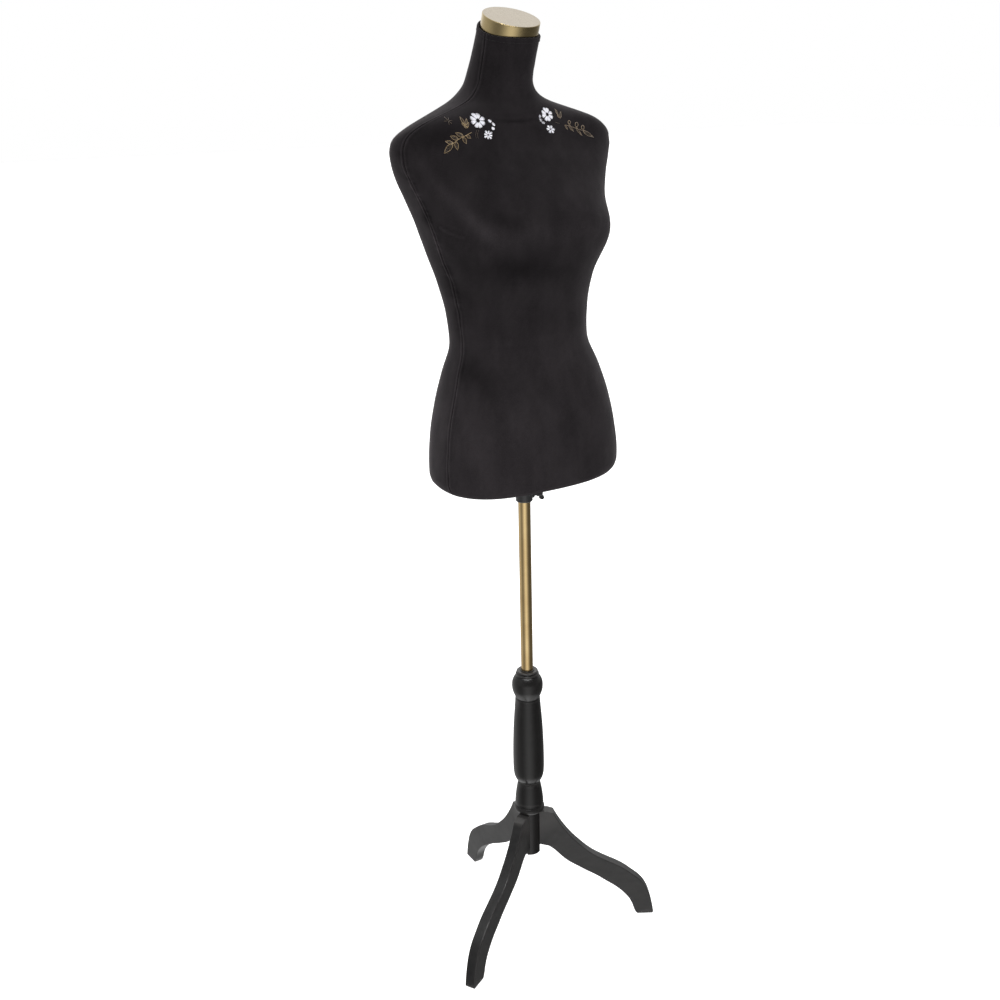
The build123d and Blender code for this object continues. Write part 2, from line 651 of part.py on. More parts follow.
# ---------------------------------------------------------------- STEP files
back_leg = make_back_leg()
pieces = {
    "leg_hub": make_leg_hub(),
    "baluster": make_baluster(),
    "pole_ferrule": make_pole_ferrule(),
    "pole": tube(level(POLE_Z0), POLE_R, POLE_BORE_R, POLE_Z1 - POLE_Z0),
    # plug fixed in the pole's lower end, taking the tie rod
    "pole_insert": tube(level(POLE_Z0), POLE_BORE_R - FIT, ROD_R + FIT, INSERT_H),
    "pole_top_plug": make_pole_top_plug(),
    "tie_rod": make_tie_rod(),
    "sleeve_nut": make_sleeve_nut(),
    "retaining_plate": tube(level(HUB_Z0), PLATE_R, PLATE_BORE_R, PLATE_T),
    "leg_back": back_leg,
    "leg_right": turned_leg(back_leg, "leg_right"),
    "leg_left": turned_leg(back_leg, "leg_left"),
    "foot_pads": make_foot_pads(),
    "slide_bush": make_slide_bush(),
    "pole_socket": make_pole_socket(),
    "clamp_shank": make_clamp_shank(),
    "clamp_wing": make_clamp_wing(),
    "guide_tube": tube(level(TUBE_Z0), TUBE_R, TUBE_BORE_R, TUBE_Z1 - TUBE_Z0),
    "socket_screws": make_socket_screws(),
    "bottom_cover": base_layer(BASE_Z, LINER_T, SCREW_HOLE_R),
    "base_board": base_layer(BASE_Z + LINER_T, BOARD_T, SCREW_R + FIT),
    "torso_core": make_torso_core(),
    "neck_block": tube(cap_plane(BLOCK_DEPTH), BLOCK_R, DOWEL_R + FIT, BLOCK_T),
    "neck_cap": make_neck_cap(),
    "cap_dowel": make_cap_dowel(),
    "cover_front": cover_half(-1),
    "cover_back": cover_half(1),
}

to_origin = Location((0, -FOOTPRINT_MID_Y, 0))
for name, piece in pieces.items():
    piece.label = name
    export_step(piece.moved(to_origin), f"parts/{name}.step")
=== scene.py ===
"""Dress-form bust in black velvet on a turned wooden stand with a brass pole.

The row frame is in metres, +Z up, floor at z = 0. The figure faces -Y, so its right is -X.
The torso is shaped in millimetres round the axis of the pole and then moved into the frame.
"""
import json
import math

import bpy
import numpy as np
from mathutils import Matrix, Vector
from mathutils.bvhtree import BVHTree

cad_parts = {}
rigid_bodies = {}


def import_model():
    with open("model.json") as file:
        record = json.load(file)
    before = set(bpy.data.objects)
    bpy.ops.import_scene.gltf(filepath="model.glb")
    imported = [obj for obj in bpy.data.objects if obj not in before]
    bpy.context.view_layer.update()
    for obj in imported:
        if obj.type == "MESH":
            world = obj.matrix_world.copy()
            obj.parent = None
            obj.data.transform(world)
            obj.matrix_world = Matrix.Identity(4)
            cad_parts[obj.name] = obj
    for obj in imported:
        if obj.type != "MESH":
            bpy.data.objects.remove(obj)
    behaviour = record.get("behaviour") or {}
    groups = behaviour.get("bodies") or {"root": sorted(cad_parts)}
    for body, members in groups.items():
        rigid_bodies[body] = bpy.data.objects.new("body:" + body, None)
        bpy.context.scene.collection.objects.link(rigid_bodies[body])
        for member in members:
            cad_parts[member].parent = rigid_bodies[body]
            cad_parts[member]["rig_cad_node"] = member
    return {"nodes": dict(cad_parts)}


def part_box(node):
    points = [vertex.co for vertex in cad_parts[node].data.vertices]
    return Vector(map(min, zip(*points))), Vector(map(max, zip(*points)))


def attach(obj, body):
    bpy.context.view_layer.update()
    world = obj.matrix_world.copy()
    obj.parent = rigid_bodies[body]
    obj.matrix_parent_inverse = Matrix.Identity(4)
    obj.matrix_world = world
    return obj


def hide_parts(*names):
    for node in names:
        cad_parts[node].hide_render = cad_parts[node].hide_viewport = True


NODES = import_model()["nodes"]
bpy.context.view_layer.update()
RNG = np.random.default_rng(7)                      # wobble of the satin stitches

pole_low, pole_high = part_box("pole")
POLE_X = (pole_low.x + pole_high.x) / 2
POLE_Y = (pole_low.y + pole_high.y) / 2
BASE_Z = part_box("cover_front")[0].z * 1000.0        # lower edge of the cover, mm
FRONT, BACK = -1, 1                                 # sign of y on each panel

# --------------------------------------------------------------------------
# Torso shape, mm
# --------------------------------------------------------------------------
# height, half width, centre y, half depth, shift of the flanks towards -Y, roundness exponent
TORSO = np.array([
    (912.0, 161.0, -1.0, 109.0, 0.0, 2.25),
    (920.0, 168.0, -1.5, 113.5, 0.0, 2.27),
    (932.0, 171.0, -2.0, 115.0, 0.0, 2.30),
    (950.0, 170.5, -2.0, 115.5, 0.0, 2.33),
    (1000.0, 163.9, 0.0, 115.3, 0.0, 2.38),
    (1050.0, 153.3, 1.7, 109.5, 0.0, 2.38),
    (1100.0, 138.7, 4.1, 98.9, 0.0, 2.30),
    (1150.0, 122.8, 8.9, 90.0, 0.0, 2.10),
    (1200.0, 127.7, 12.6, 89.9, 0.5, 2.03),
    (1250.0, 138.9, 16.0, 99.1, 1.0, 2.05),
    (1300.0, 156.0, 12.5, 111.0, 0.0, 2.20),
    (1340.0, 164.0, 13.5, 117.5, -8.0, 2.30),
    (1380.0, 172.8, 25.0, 115.0, -17.0, 2.30),
    (1410.0, 185.1, 38.5, 106.4, -11.0, 2.30),
    (1440.0, 196.1, 49.9, 93.8, 1.0, 2.28),
    (1460.0, 200.3, 56.5, 84.5, 9.7, 2.23),
    (1475.0, 197.2, 58.5, 79.4, 14.6, 2.20),
    (1490.0, 181.4, 55.5, 75.5, 18.5, 2.15),
    (1502.0, 158.7, 53.0, 72.5, 18.0, 2.15),
    (1515.0, 122.6, 56.0, 70.0, 9.0, 2.10),
    (1535.0, 73.7, 64.0, 62.5, 0.0, 2.00),
    (1560.0, 54.0, 57.5, 58.0, 0.0, 2.00),
    (1600.0, 51.0, 38.2, 56.0, 0.0, 2.00),
    (1640.0, 50.2, 19.2, 55.3, 0.0, 2.00),
    (1680.0, 50.0, 1.0, 55.3, 0.0, 2.00),
])
# height, y of the side and shoulder seam
SEAM = np.array([
    (900, -35), (952, -33), (1006, -28.5), (1073, -25), (1099, -21), (1126, -15.5),
    (1147, -12.5), (1196, -11), (1227, -11), (1267, -13), (1303, -14), (1342, -3),
    (1379, 14), (1437, 25), (1482, 20), (1502, 14), (1516, 20), (1530, 31),
    (1546, 36), (1571, 31), (1600, 20), (1640, 7), (1690, -10)], float)
SEAM_GAP = -0.3                                     # negative: the panels overlap
SECTION_BLUR, SEAM_BLUR = 5.0, 9.0
SHARP_BELOW, SHARP_FADE = 934.0, 16.0               # the lower rim stays unblurred

# Swellings of the chest: height and its spread, x and its width, how far they stand out
BUST_Z, BUST_SPREAD, BUST_X, BUST_WIDTH, BUST_OUT = 1338.0, 36.0, 80.0, 36.0, 8.0
FLANK_Z, FLANK_SPREAD, FLANK_X, FLANK_WIDTH, FLANK_OUT = 1323.0, 33.4, 140.0, 34.0, 16.8
CLEAVAGE, CLEAVAGE_WIDTH = 0.3, 30.0                # hollow between, as a share of BUST_OUT

# Neck opening: a plane parallel to the top of the tilted cap and RIM_DOWN below it
CAP_TILT, CAP_TOP_Y, CAP_TOP_Z = math.radians(22.0), 13.5, 1653.2
RIM_DOWN = 17.5
RIM_Y = CAP_TOP_Y + math.sin(CAP_TILT) * RIM_DOWN
RIM_Z = CAP_TOP_Z - math.cos(CAP_TILT) * RIM_DOWN
FIRST_RIM_Z = 1636.0                                # starting guess for the rim's height
SIDE_DIP, THROAT_RISE, NAPE_DIP = 4.3, 2.2, 2.0

# Sag of the lower edge round one direction
SAG, SAG_ANGLE, SAG_HALF, SAG_POWER = 4.8, math.radians(-143), math.radians(50), 1.4
SAG_REACH = 26.0                                    # height over which it fades

FRONT_GRID, BACK_GRID = (330, 190), (300, 170)      # rows up, columns across
INNER_OFFSET = 2.2                                  # inner face of the cloth


def bell(distance, width, power=2):
    """1 at distance 0, falling off softly over width."""
    return np.exp(-((distance / width) ** power))


def fade(x, end, span, low=0.0, high=1.0):
    """Straight fall with x that reaches 0 at end, limited to low..high."""
    return np.clip((end - x) / span, low, high)


def rise(distance, span):
    """Straight rise from 0 to 1 over span."""
    return np.clip(distance / span, 0, 1)


def pchip(xs, ys, x):
    """Monotone cubic through (xs, ys) at x, straight beyond the ends."""
    step = np.diff(xs)
    slope = np.diff(ys) / step
    tangent = np.zeros(len(xs))
    tangent[0], tangent[-1] = slope[0], slope[-1]
    before = 2 * step[1:] + step[:-1]
    after = step[1:] + 2 * step[:-1]
    same_way = slope[:-1] * slope[1:] > 0
    left = np.where(same_way, slope[:-1], 1.0)
    right = np.where(same_way, slope[1:], 1.0)
    mean = (before + after) / (before / left + after / right)
    tangent[1:-1] = np.where(same_way, mean, 0.0)
    i = np.clip(np.searchsorted(xs, x, side="right") - 1, 0, len(xs) - 2)
    t = (x - xs[i]) / step[i]
    y = ((2 * t**3 - 3 * t**2 + 1) * ys[i]
         + (t**3 - 2 * t**2 + t) * step[i] * tangent[i]
         + (3 * t**2 - 2 * t**3) * ys[i + 1]
         + (t**3 - t**2) * step[i] * tangent[i + 1])
    y = np.where(x < xs[0], ys[0] + tangent[0] * (x - xs[0]), y)
    return np.where(x > xs[-1], ys[-1] + tangent[-1] * (x - xs[-1]), y)


def blurred(values, sigma):
    """Gaussian blur of evenly spaced values."""
    reach = int(sigma * 4)
    kernel = np.exp(-0.5 * (np.arange(-reach, reach + 1) / sigma) ** 2)
    padded = np.pad(values, reach, mode="reflect", reflect_type="odd")
    return np.convolve(padded, kernel / kernel.sum(), "valid")


HEIGHTS = np.arange(890.0, 1700.0, 1.0)


def dense_section(column):
    """One column of TORSO at HEIGHTS, blurred above the lower rim."""
    raw = pchip(TORSO[:, 0], TORSO[:, column], HEIGHTS)
    soft = np.clip((HEIGHTS - SHARP_BELOW) / SHARP_FADE, 0, 1)
    return raw * (1 - soft) + blurred(raw, SECTION_BLUR) * soft


SECTIONS = [dense_section(column) for column in range(1, 6)]
SEAM_Y = blurred(pchip(SEAM[:, 0], SEAM[:, 1], HEIGHTS), SEAM_BLUR)


def body(z, phi):
    """Torso surface in mm at height z and angle phi from +X, without cloth detail."""
    half_width, centre_y, half_depth, flank_shift, roundness = [
        np.interp(z, HEIGHTS, section) for section in SECTIONS]
    cos, sin = np.cos(phi), np.sin(phi)
    across = np.sign(cos) * np.abs(cos) ** (2.0 / roundness)
    deep = np.sign(sin) * np.abs(sin) ** (2.0 / roundness)
    x = half_width * across
    y = centre_y + half_depth * deep - flank_shift * across * across
    front = np.where(sin < 0, sin * sin * (3 + 2 * sin), 0.0)
    bust = bell(np.abs(x) - BUST_X, BUST_WIDTH) - CLEAVAGE * bell(x, CLEAVAGE_WIDTH)
    y = y - BUST_OUT * bell(z - BUST_Z, BUST_SPREAD) * bust * front
    flank = bell(np.abs(x) - FLANK_X, FLANK_WIDTH)
    y = y - FLANK_OUT * bell(z - FLANK_Z, FLANK_SPREAD) * flank * front
    return np.stack([x, y, z + 0 * x], -1)


def seam_angle(z, shift):
    """Angle on the +X side where the seam runs at height z, found by halving."""
    target = np.interp(z, HEIGHTS, SEAM_Y) + shift
    low, high = np.full_like(z, -1.2), np.full_like(z, 1.2)
    for _ in range(40):
        middle = (low + high) / 2
        short = body(z, middle)[..., 1] < target
        low, high = np.where(short, middle, low), np.where(short, high, middle)
    return low


def sag(phi):
    """How far the lower edge of the cover hangs below the board."""
    turn = np.arctan2(np.sin(phi - SAG_ANGLE), np.cos(phi - SAG_ANGLE))
    return SAG * np.cos(np.clip(turn / SAG_HALF, -1, 1) * math.pi / 2) ** SAG_POWER


def to_frame(points):
    """mm round the pole's axis -> metres in the row frame."""
    return np.asarray(points, float) / 1000.0 + np.array([POLE_X, POLE_Y, 0.0])


# --------------------------------------------------------------------------
# Random fields and mesh helpers
# --------------------------------------------------------------------------
NOISE_BASE, NOISE_SPAN = 900, 800                   # heights covered by height_noise, mm


def height_noise(z, step, seed):
    """Smooth seeded noise that depends on height only, with knots every step mm."""
    knots = np.random.default_rng(seed).normal(size=int(NOISE_SPAN / step) + 4)
    table = 1.6 * np.interp(np.arange(NOISE_SPAN) / step, np.arange(len(knots)),
                            blurred(knots, 1.0))
    return table[np.clip((z - NOISE_BASE).astype(int), 0, NOISE_SPAN - 1)]


def field(points, scale, seed, octaves=2):
    """Smooth seeded random field over points (mm), about -1..1."""
    random = np.random.default_rng(seed)
    total = np.zeros(points.shape[:-1])
    for octave in range(octaves):
        for _ in range(7):
            wave = random.normal(size=3) * (2**octave) / scale
            phase = random.uniform(0, 2 * math.pi)
            total += np.sin(points @ wave * 2.2 + phase) / (7**0.5 * 1.4 * 1.8**octave)
    return total


def mesh_object(name, verts, faces, smooth=True):
    mesh = bpy.data.meshes.new(name)
    mesh.from_pydata([tuple(v) for v in verts], [], faces)
    mesh.validate()
    mesh.update()
    if smooth:
        mesh.polygons.foreach_set("use_smooth", [True] * len(mesh.polygons))
    ob = bpy.data.objects.new(name, mesh)
    bpy.context.scene.collection.objects.link(ob)
    return ob


def torso_object(name, verts, faces):
    """Mesh that moves with the torso."""
    ob = mesh_object(name, verts, faces)
    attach(ob, "torso")
    return ob


# --------------------------------------------------------------------------
# Velvet cover: a front and a back panel, sewn at the side and shoulder seams
# --------------------------------------------------------------------------
# Soft patches on the front, partly brushed pile and partly painted light: a painted highlight
# band from the right shoulder down to the bust, painted highlights along the bust, painted shade
# under the bust, at the right hip and along the right edge:
# x, z, half length, half width, turn in degrees, change of lightness
PILE_PATCHES_AND_PAINTED_LIGHT = (
    (-61, 1281, 46, 23, 0, -0.46), (20, 1268, 60, 16, 0, -0.14),
    (-80, 1353, 27, 14, -25, -0.34), (18, 1318, 52, 11, 0, 0.15),
    (-178, 1405, 15, 42, 0, -0.26), (-112, 1440, 20, 16, 0, -0.14),
    (-123, 1115, 20, 24, 30, -0.46), (-108, 1090, 10, 18, 10, -0.10),
    (-30, 1334, 120, 15, 0, 0.24), (45, 1331, 50, 13, 0, 0.14),
    (-143, 1387, 70, 10, -57, 0.54), (-121, 1345, 26, 9, -48, 0.22),
    (-112, 1338, 26, 16, -30, 0.20), (-150, 1480, 34, 16, 15, -0.36),
    (-80, 1452, 55, 26, 0, -0.12), (40, 1499, 34, 10, -8, 0.24),
    (62, 1400, 40, 26, 20, 0.08), (-140, 1010, 14, 60, 4, 0.18),
    (-40, 1160, 90, 6, 2, 0.10),
)
# Random mottling of the pile: strength, scale in mm, seed
MOTTLING = ((0.055, 70.0, 41), (0.045, 26.0, 42), (0.035, 9.0, 43))
# Curved lines across the throat: z, curvature, x of the curve's vertex, line width,
# x where the line is strongest, half length, strength
# painted shade along the folds across the throat
PAINTED_THROAT_SHADE = (
    (1498.5, 0.0016, -12, 2.6, -14, 40.0, -0.42),
    (1507.0, 0.0016, -20, 2.0, -24, 30.0, -0.16),
)
THROAT_FOLDS = (
    (1501.0, 0.0016, -14, 3.0, -12, 34.0, -1.10),
    (1507.5, 0.0016, -14, 4.5, -10, 40.0, 0.75),
    (1493.0, -0.0012, 10, 2.6, 6, 26.0, -0.35),
)
# Short ridges on the front beside the side seams, x, y, z
RIGHT_RIDGE = ((-158, -21, 1345), (-151, -38, 1337), (-138, -60, 1331))
LEFT_RIDGE = ((158, -24, 1352), (150, -42, 1341))


def graded(count, crowding):
    """0..1 with steps that start small at both ends."""
    t = np.linspace(0, 1, count)
    return t - crowding * np.sin(2 * math.pi * t) / (2 * math.pi)


def away(points, chain):
    """Distance of points from a chain of straight pieces."""
    nearest = np.full(points.shape[:-1], 1e9)
    corners = np.array(chain, float)
    for start, end in zip(corners[:-1], corners[1:]):
        run = end - start
        t = np.clip(((points - start) @ run) / (run @ run), 0, 1)
        gap = np.linalg.norm(points - (start + t[..., None] * run), axis=-1)
        nearest = np.minimum(nearest, gap)
    return nearest


def ridge(points, chain, height, width, groove, groove_at, groove_width):
    """Raised line along a chain with a shallow groove round it."""
    gap = away(points, chain)
    return height * bell(gap, width) - groove * bell(gap - groove_at, groove_width)


def blob(points, x, z, along, across, turn, strength):
    """Soft oval patch about (x, z)."""
    cos, sin = math.cos(math.radians(turn)), math.sin(math.radians(turn))
    dx, dz = points[..., 0] - x, points[..., 2] - z
    return strength * bell(dx * cos + dz * sin, along) * bell(-dx * sin + dz * cos, across)


def throat_line(points, z, curve, vertex_x, width, middle_x, length, strength):
    """Soft curved line across the throat."""
    x = points[..., 0]
    off_line = points[..., 2] - (z + curve * (x - vertex_x) ** 2)
    return strength * bell(off_line, width) * bell(x - middle_x, length)


def rounded(distance, width, depth):
    """Drop of a quarter-round edge, deepest at distance 0."""
    share = fade(distance, end=width, span=width)
    return depth * (1 - np.sqrt(1 - share * share * 0.999))


def ripple(points, seam_gap):
    """Small gathers of the sewing, close to the seam."""
    phase = 2.4 * field(points, scale=24.0, seed=7)
    waves = np.sin(points[..., 2] / 1.55 + phase) * bell(seam_gap, width=9.5)
    return waves * rise(seam_gap, span=2.0) * (0.6 + 0.4 * field(points, scale=30.0, seed=8))


def pucker(points, side, first_half, seam_gap):
    """Uneven pull of the seams, different on the two halves of a panel."""
    halves = []
    # wobble: knot spacing and seed; tightness: knot spacing and seed
    for step, seed, pull_step, pull_seed in ((4.6, 31 - side, 38.0, 83),
                                             (5.2, 57 - side, 42.0, 91)):
        tightness = 0.35 + np.abs(height_noise(points[..., 2], pull_step, pull_seed))
        halves.append(height_noise(points[..., 2], step, seed) * tightness)
    pull = np.where(first_half, *halves)
    return pull * bell(seam_gap, width=10.5) * rise(seam_gap, span=2.5)


def pile_and_painted_light(points, side, seam_gap, puck, drag):
    """How light the velvet looks, 1 on average: random mottling with painted highlights and
    painted shade.
    """
    x, z = points[..., 0], points[..., 2]
    light = np.ones(x.shape)
    for strength, scale, seed in MOTTLING:
        light += strength * field(points, scale, seed)
    # steep leaning streaks
    leaning = points.copy()
    leaning[..., 2] = z * 0.30 + x * 0.12
    light += 0.035 * field(leaning, scale=16.0, seed=44)
    # painted shade above the waist and painted light below it, towards -X the further down
    light += 0.05 * fade(z, end=1180.0, span=120.0, low=-1.0, high=0.0)
    sideways = np.tanh((x + 5) / 50.0) * fade(z, end=1080.0, span=70.0, low=0.15)
    light += fade(z, end=1190.0, span=70.0) * 0.17 * (1 - sideways)
    if side == FRONT:
        # patches of brushed pile and of painted highlights and painted shade
        for patch in PILE_PATCHES_AND_PAINTED_LIGHT:
            light += blob(points, *patch)
        # painted shade along the throat folds
        for line in PAINTED_THROAT_SHADE:
            light += throat_line(points, *line)
        # painted highlight along the right ridges, with painted shade in the groove round them
        light += ridge(points, RIGHT_RIDGE, height=0.35, width=2.0,
                       groove=0.15, groove_at=4.5, groove_width=2.5)
    # painted light and painted shade that follow the relief by the seams, strongest round the
    # chest
    chest = bell(z - 1335, width=125.0, power=4)
    light += np.clip(puck, -0.30, 0.8) * (0.10 + 0.40 * chest)
    light += 0.26 * drag * bell(z - 1360, width=90.0)
    light += 0.34 * ripple(points, seam_gap) * (0.15 + 0.85 * chest)
    # painted highlight on the welt, painted shade in a band beyond it and in the seam line
    light += 0.34 * bell(seam_gap - 3.0, width=1.4)
    light -= 0.17 * bell(seam_gap - 7.0, width=2.4)
    light -= 0.42 * bell(seam_gap, width=1.2)
    return np.clip(light, 0.25, 2.2)


def relief(points, side, seam_gap, top_gap, base_gap, puck, drag):
    """Height of the cloth detail above the plain torso, mm."""
    z = points[..., 2]
    chest = bell(z - 1330, width=120.0, power=4)
    # turned seam edge, the welt beside it, and the pucker of the sewing
    height = -rounded(seam_gap, width=2.2, depth=1.7)
    height += (0.30 + 0.35 * chest) * bell(seam_gap - 3.0, width=1.7)
    height += (0.34 + 1.00 * chest) * puck
    height += (0.05 + 0.22 * chest) * ripple(points, seam_gap)
    # long soft drag lines running off the seam at the chest and the waist
    strain = 0.42 * bell(z - 1390, width=62.0) + 0.22 * bell(z - 1150, width=60.0)
    height += drag * strain * rise(seam_gap, span=4.0)
    if side == FRONT:
        for chain in (RIGHT_RIDGE, LEFT_RIDGE):
            height += ridge(points, chain, height=0.75, width=2.2,
                            groove=0.35, groove_at=5.0, groove_width=2.6)
        for fold in THROAT_FOLDS:
            height += throat_line(points, *fold)
    # gentle unevenness of cloth over foam
    height += 0.34 * field(points, scale=150.0, seed=11)
    height += 0.10 * field(points, scale=42.0, seed=12)
    # hem folded over at the neck opening, with its stitched groove
    hem = fade(top_gap, end=9.5, span=1.6)
    height += 0.75 * hem * hem * (3 - 2 * hem)
    height -= 0.35 * bell(top_gap - 8.0, width=0.7)
    height += (0.16 * bell(top_gap - 6.0, width=5.0)
               * field(points, scale=11.0, seed=21, octaves=1))
    # lip at the top and bottom edges
    height -= rounded(top_gap, width=1.5, depth=1.4)
    height -= rounded(base_gap, width=1.6, depth=1.2)
    return height


def panel_angles(side, z, across):
    """Angles of a panel that runs from seam to seam as across goes 0..1."""
    seam = seam_angle(z, side * SEAM_GAP / 2)
    if side == FRONT:
        return (math.pi - seam) + (math.pi + 2 * seam) * across
    return seam + (math.pi - 2 * seam) * across


def rim_height(side, across):
    """Height of the neck opening, which depends on the surface's own y."""
    z = np.full_like(across, FIRST_RIM_Z)
    for _ in range(6):
        phi = panel_angles(side, z, across)
        cos, sin = np.cos(phi), np.sin(phi)
        z = RIM_Z + math.tan(CAP_TILT) * (body(z, phi)[..., 1] - RIM_Y)
        # the opening dips at the sides and the nape and stands up at the throat
        z = (z - SIDE_DIP * np.abs(cos) ** 2.2 + THROAT_RISE * np.clip(-sin, 0, 1) ** 3
             - NAPE_DIP * np.clip(sin, 0, 1) ** 3)
    return z


def travelled(points, axis):
    """Distance along the cloth from the first row or column."""
    steps = np.linalg.norm(np.diff(points, axis=axis), axis=-1)
    start = np.zeros_like(np.take(steps, [0], axis=axis))
    return np.concatenate([start, np.cumsum(steps, axis)], axis)


def sheet_faces(rows, columns):
    """Faces of an outer grid, an inner grid behind it and the rim between them."""
    outer = []
    for i in range(rows - 1):
        for j in range(columns - 1):
            a = i * columns + j
            outer.append((a, a + 1, a + columns + 1, a + columns))
    count = rows * columns
    inner = [tuple(i + count for i in face[::-1]) for face in outer]
    top, right = (rows - 1) * columns, columns - 1
    edges = [(j, j + 1) for j in range(right)]
    edges += [(i * columns + right, (i + 1) * columns + right) for i in range(rows - 1)]
    edges += [(top + j + 1, top + j) for j in range(right - 1, -1, -1)]
    edges += [((i + 1) * columns, i * columns) for i in range(rows - 2, -1, -1)]
    rim = [(b, a, a + count, b + count) for a, b in edges]
    return outer, outer + inner + rim


def panel(name, side, grid):
    """Returns the object, its outer vertices as a grid, and its outer faces."""
    rows, columns = grid
    up, across = np.meshgrid(graded(rows, crowding=0.80), graded(columns, crowding=0.93),
                             indexing="ij")
    z = BASE_Z + (rim_height(side, across) - BASE_Z) * up
    phi = panel_angles(side, z, across)
    plain = body(z, phi)
    normal = np.cross(np.gradient(plain, axis=1), np.gradient(plain, axis=0))
    normal /= np.linalg.norm(normal, axis=-1, keepdims=True)
    # distances along the cloth to the nearer seam and to the top and bottom edges
    arc = travelled(plain, axis=1)
    seam_gap = np.minimum(arc, arc[:, -1:] - arc)
    base_gap = travelled(plain, axis=0)
    top_gap = base_gap[-1:] - base_gap
    puck = pucker(plain, side, across < 0.5, seam_gap)
    drag_phase = 2.2 * field(plain, scale=55.0, seed=5)
    drag = np.sin(plain[..., 2] / 9.5 + drag_phase) * np.exp(-seam_gap / 24.0)
    height = relief(plain, side, seam_gap, top_gap, base_gap, puck, drag)
    # lightness of the velvet per point: pile mottling with painted highlights and painted shade
    nap_and_painted_light = pile_and_painted_light(plain, side, seam_gap, puck, drag)

    outer = plain + normal * height[..., None]
    inner = plain - normal * INNER_OFFSET
    fall = sag(phi) * bell(base_gap, SAG_REACH)
    outer[..., 2] -= fall
    inner[..., 2] -= fall
    outer = to_frame(outer)
    outer_faces, faces = sheet_faces(rows, columns)
    verts = np.vstack([outer.reshape(-1, 3), to_frame(inner).reshape(-1, 3)])
    ob = mesh_object(name, verts, faces)
    attribute = ob.data.attributes.new("nap_and_painted_light", "FLOAT", "POINT")
    values = np.concatenate([nap_and_painted_light.ravel(), nap_and_painted_light.ravel()]).astype(np.float32)
    attribute.data.foreach_set("value", values)
    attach(ob, "torso")
    return ob, outer, outer_faces


front, front_grid, front_faces = panel("velvet_front_panel", FRONT, FRONT_GRID)
back, back_grid, _ = panel("velvet_back_panel", BACK, BACK_GRID)
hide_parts("cover_front")
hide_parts("cover_back")
CLOTH = BVHTree.FromPolygons([Vector(v) for v in front_grid.reshape(-1, 3)], front_faces)


# --------------------------------------------------------------------------
# Cloth under the base: pulled over the board and gathered a little at its edge
# --------------------------------------------------------------------------
BASE_ROWS, BASE_COLUMNS = 16, 240
BASE_HOLE_RADIUS = 13.95                            # round the pole
BASE_INSET = 3.6                                    # from the torso's outline
BASE_TOP = 1.35                                     # upper face above BASE_Z


def base_cloth():
    phi = np.linspace(0, 2 * math.pi, BASE_COLUMNS, endpoint=False)
    ray = np.stack([np.cos(phi), np.sin(phi)], 1)
    hole = ray * BASE_HOLE_RADIUS
    edge = body(np.full(BASE_COLUMNS, BASE_Z), phi)[:, :2] - ray * BASE_INSET
    gathers = 0.15 * np.sin(phi * 46 + 2 * np.sin(phi * 3))
    lower = []
    for i in range(BASE_ROWS):
        t = i / (BASE_ROWS - 1)
        z = BASE_Z - 0.15 - 0.2 * bell(1 - t, width=0.12) + gathers * bell(1 - t, width=0.09)
        z = z - sag(phi) * max(0.0, (t - 0.72) / 0.28) ** 1.5
        lower.append(np.column_stack([hole + (edge - hole) * t, z]))
    top_z = np.full(BASE_COLUMNS, BASE_Z + BASE_TOP)
    upper = [np.column_stack([row[:, :2], top_z]) for row in lower[::-1]]
    loops = lower + upper
    faces = []
    for i in range(len(loops)):
        a, b = i * BASE_COLUMNS, ((i + 1) % len(loops)) * BASE_COLUMNS
        for j in range(BASE_COLUMNS):
            k = (j + 1) % BASE_COLUMNS
            faces.append((a + j, b + j, b + k, a + k))
    ob = torso_object("base_cloth", to_frame(np.vstack(loops)), faces)
    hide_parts("bottom_cover")
    return ob


base = base_cloth()

# --------------------------------------------------------------------------
# Embroidery: satin-stitched blossoms and stem-stitched leaves
# --------------------------------------------------------------------------
THREAD_SIDES = 5


def thread_ring(centre, first_axis, second_axis, radius):
    angles = [2 * math.pi * k / THREAD_SIDES for k in range(THREAD_SIDES)]
    return [centre + first_axis * (math.cos(a) * radius) + second_axis * (math.sin(a) * radius)
            for a in angles]


def add_thread(verts, faces, rings):
    """Closed tube through rings of points."""
    sides, start = THREAD_SIDES, len(verts)
    for ring in rings:
        verts.extend(ring)
    last = start + (len(rings) - 1) * sides
    for first in range(start, last, sides):
        for k in range(sides):
            a, b = first + k, first + (k + 1) % sides
            faces.append((a, b, b + sides, a + sides))
    faces.append(tuple(start + k for k in range(sides))[::-1])
    faces.append(tuple(last + k for k in range(sides)))


def arch(t, margin, power):
    """Half sine wave over 0..1, flattened by power and held inside the margins."""
    return math.sin(math.pi * min(max(t, margin), 1 - margin)) ** power


